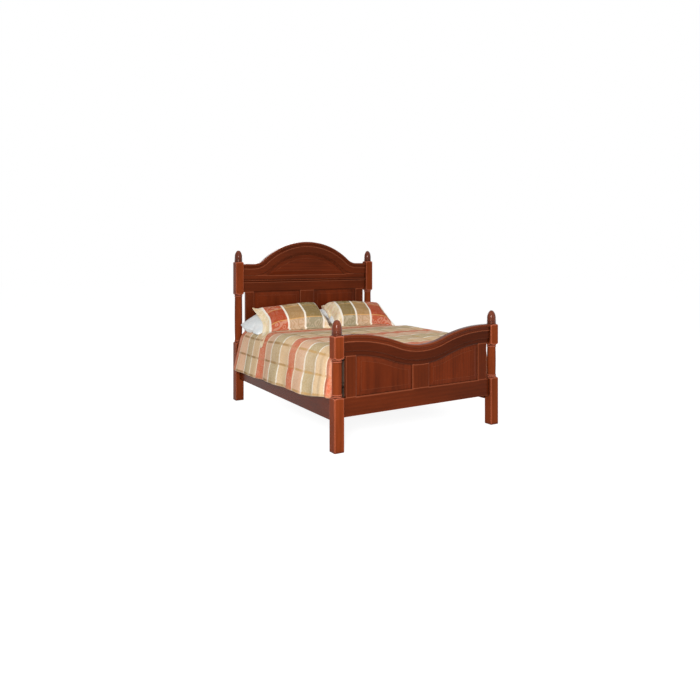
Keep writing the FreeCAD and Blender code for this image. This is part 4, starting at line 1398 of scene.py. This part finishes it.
@dataclass
class Studio:
    """Pale floor, soft light and the camera."""

    camera_place: Place = (-3.2523, -5.4559, 1.5392)
    camera_heading: float = math.radians(-32.036)
    lens: float = 33.016
    shift: Pair = (-0.02743, -0.13585)
    floor_size: float = 60.0
    floor_depth: float = 0.0005
    floor_white: float = 0.90
    floor_shade: float = 0.36
    sky: float = 0.28
    aim: Place = (0.0, 0.0, 0.6)
    lamps: tuple[tuple[str, Place, float, float], ...] = (
        ("key_lamp", (-3.8, -5.4, 2.4), 1.3, 300.0),
        ("fill_lamp", (2.5, -6.0, 2.2), 3.0, 30.0),
        ("top_lamp", (0.0, 0.6, 4.6), 3.0, 18.0),
        ("front_lamp", (-1.6, -3.0, 3.9), 0.8, 12.0),
        ("back_lamp", (1.8, 6.0, 2.8), 3.0, 110.0),
    )

    def lamp(self, name: str, place: Place, size: float, power: float) -> None:
        """Hangs a soft square lamp that points at the bed.

        Args:
            name: The lamp's name.
            place: Where it hangs.
            size: Its width and height.
            power: Its power in watts.
        """
        data = bpy.data.lights.new(name, "AREA")
        data.size = size
        data.energy = power
        made = bpy.data.objects.new(name, data)
        made.location = place
        made.rotation_euler = (Vector(self.aim) - Vector(place)).to_track_quat("-Z", "Y").to_euler()
        bpy.context.scene.collection.objects.link(made)

    def seen(self, graph: Graph) -> Socket:
        """Gives 1 where the camera, a reflection or glass looks, and 0 for the light on the bed.

        Args:
            graph: The graph of the floor's material or of the sky.

        Returns:
            The mask.
        """
        path = graph.add("ShaderNodeLightPath").outputs
        straight = graph.sum("MAXIMUM", path["Is Camera Ray"], path["Is Transmission Ray"])
        return graph.sum("MAXIMUM", straight, path["Is Glossy Ray"])

    def floor(self) -> None:
        """Lays the floor, which is clear from below so that the bed's underside can be seen."""
        bm = bmesh.new()
        bmesh.ops.create_grid(bm, x_segments=1, y_segments=1, size=self.floor_size / 2)
        bmesh.ops.translate(bm, vec=(0.0, 0.0, -self.floor_depth), verts=bm.verts)
        paint = Paint("studio_floor")
        grey = (0.80, 0.80, 0.80, 1.0)
        paint.fill(paint.shader, {"Base Color": grey, "Roughness": 0.9, "Specular IOR Level": 0.0})
        lit = paint.tree.nodes["Principled BSDF"].outputs[0]
        white = paint.add("ShaderNodeEmission", {"Color": PLAIN_WHITE, "Strength": self.floor_white})
        shade = paint.add("ShaderNodeBsdfDiffuse", {"Color": (*[self.floor_shade] * 3, 1.0)})
        bright = paint.add("ShaderNodeAddShader", {0: white.outputs[0], 1: shade.outputs[0]})
        both = paint.add("ShaderNodeMixShader", {0: self.seen(paint), 1: lit, 2: bright.outputs[0]})
        below = paint.add("ShaderNodeNewGeometry").outputs["Backfacing"]
        clear = paint.add("ShaderNodeBsdfTransparent")
        sided = paint.add("ShaderNodeMixShader", {0: below, 1: both.outputs[0], 2: clear.outputs[0]})
        output = next(node for node in paint.tree.nodes if node.type == "OUTPUT_MATERIAL")
        paint.fill(output.inputs, {"Surface": sided.outputs[0]})
        new_object(bm, "studio_floor", paint.material)

    def world(self) -> None:
        """Makes the sky: soft light for the bed, and white where the camera or a reflection sees it."""
        world = bpy.data.worlds.new("studio")
        world.use_nodes = True
        bpy.context.scene.world = world
        graph = Graph(world.node_tree)
        strength = graph.sum("MULTIPLY_ADD", self.seen(graph), 1.0 - self.sky, self.sky)
        background = next(node for node in world.node_tree.nodes if node.type == "BACKGROUND")
        graph.fill(background.inputs, {"Color": PLAIN_WHITE, "Strength": strength})

    def camera(self) -> None:
        """Sets up the camera."""
        data = bpy.data.cameras.new("camera")
        data.sensor_width = 36.0
        data.lens = self.lens
        data.shift_x, data.shift_y = self.shift
        made = bpy.data.objects.new("camera", data)
        made.location = self.camera_place
        made.rotation_euler = (math.pi / 2, 0.0, self.camera_heading)
        bpy.context.scene.collection.objects.link(made)
        bpy.context.scene.camera = made

    def build(self) -> None:
        """Sets up the whole studio."""
        bpy.context.scene.view_settings.view_transform = "Standard"
        self.world()
        self.floor()
        self.camera()
        for lamp in self.lamps:
            self.lamp(*lamp)


def main() -> None:
    """Builds the studio and every sub-assembly in order, and reports each piece."""
    logging.basicConfig(level=logging.INFO, format="%(name)s: %(message)s")
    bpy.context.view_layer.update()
    Studio().build()
    effects = Effects()
    members = frame["record"]["behaviour"]["bodies"]["frame"]
    wood = {name: frame["nodes"][name] for name in members}
    comforter = Comforter()
    made = Joinery().dress(effects, wood)
    made += MattressSet().build(effects)
    made.append(comforter.build(effects))
    made += PillowSet().build(effects, comforter)
    for piece in made:
        LOG.info("%s: %d faces", piece.name, len(piece.data.polygons))


if __name__ == "__main__":
    main()
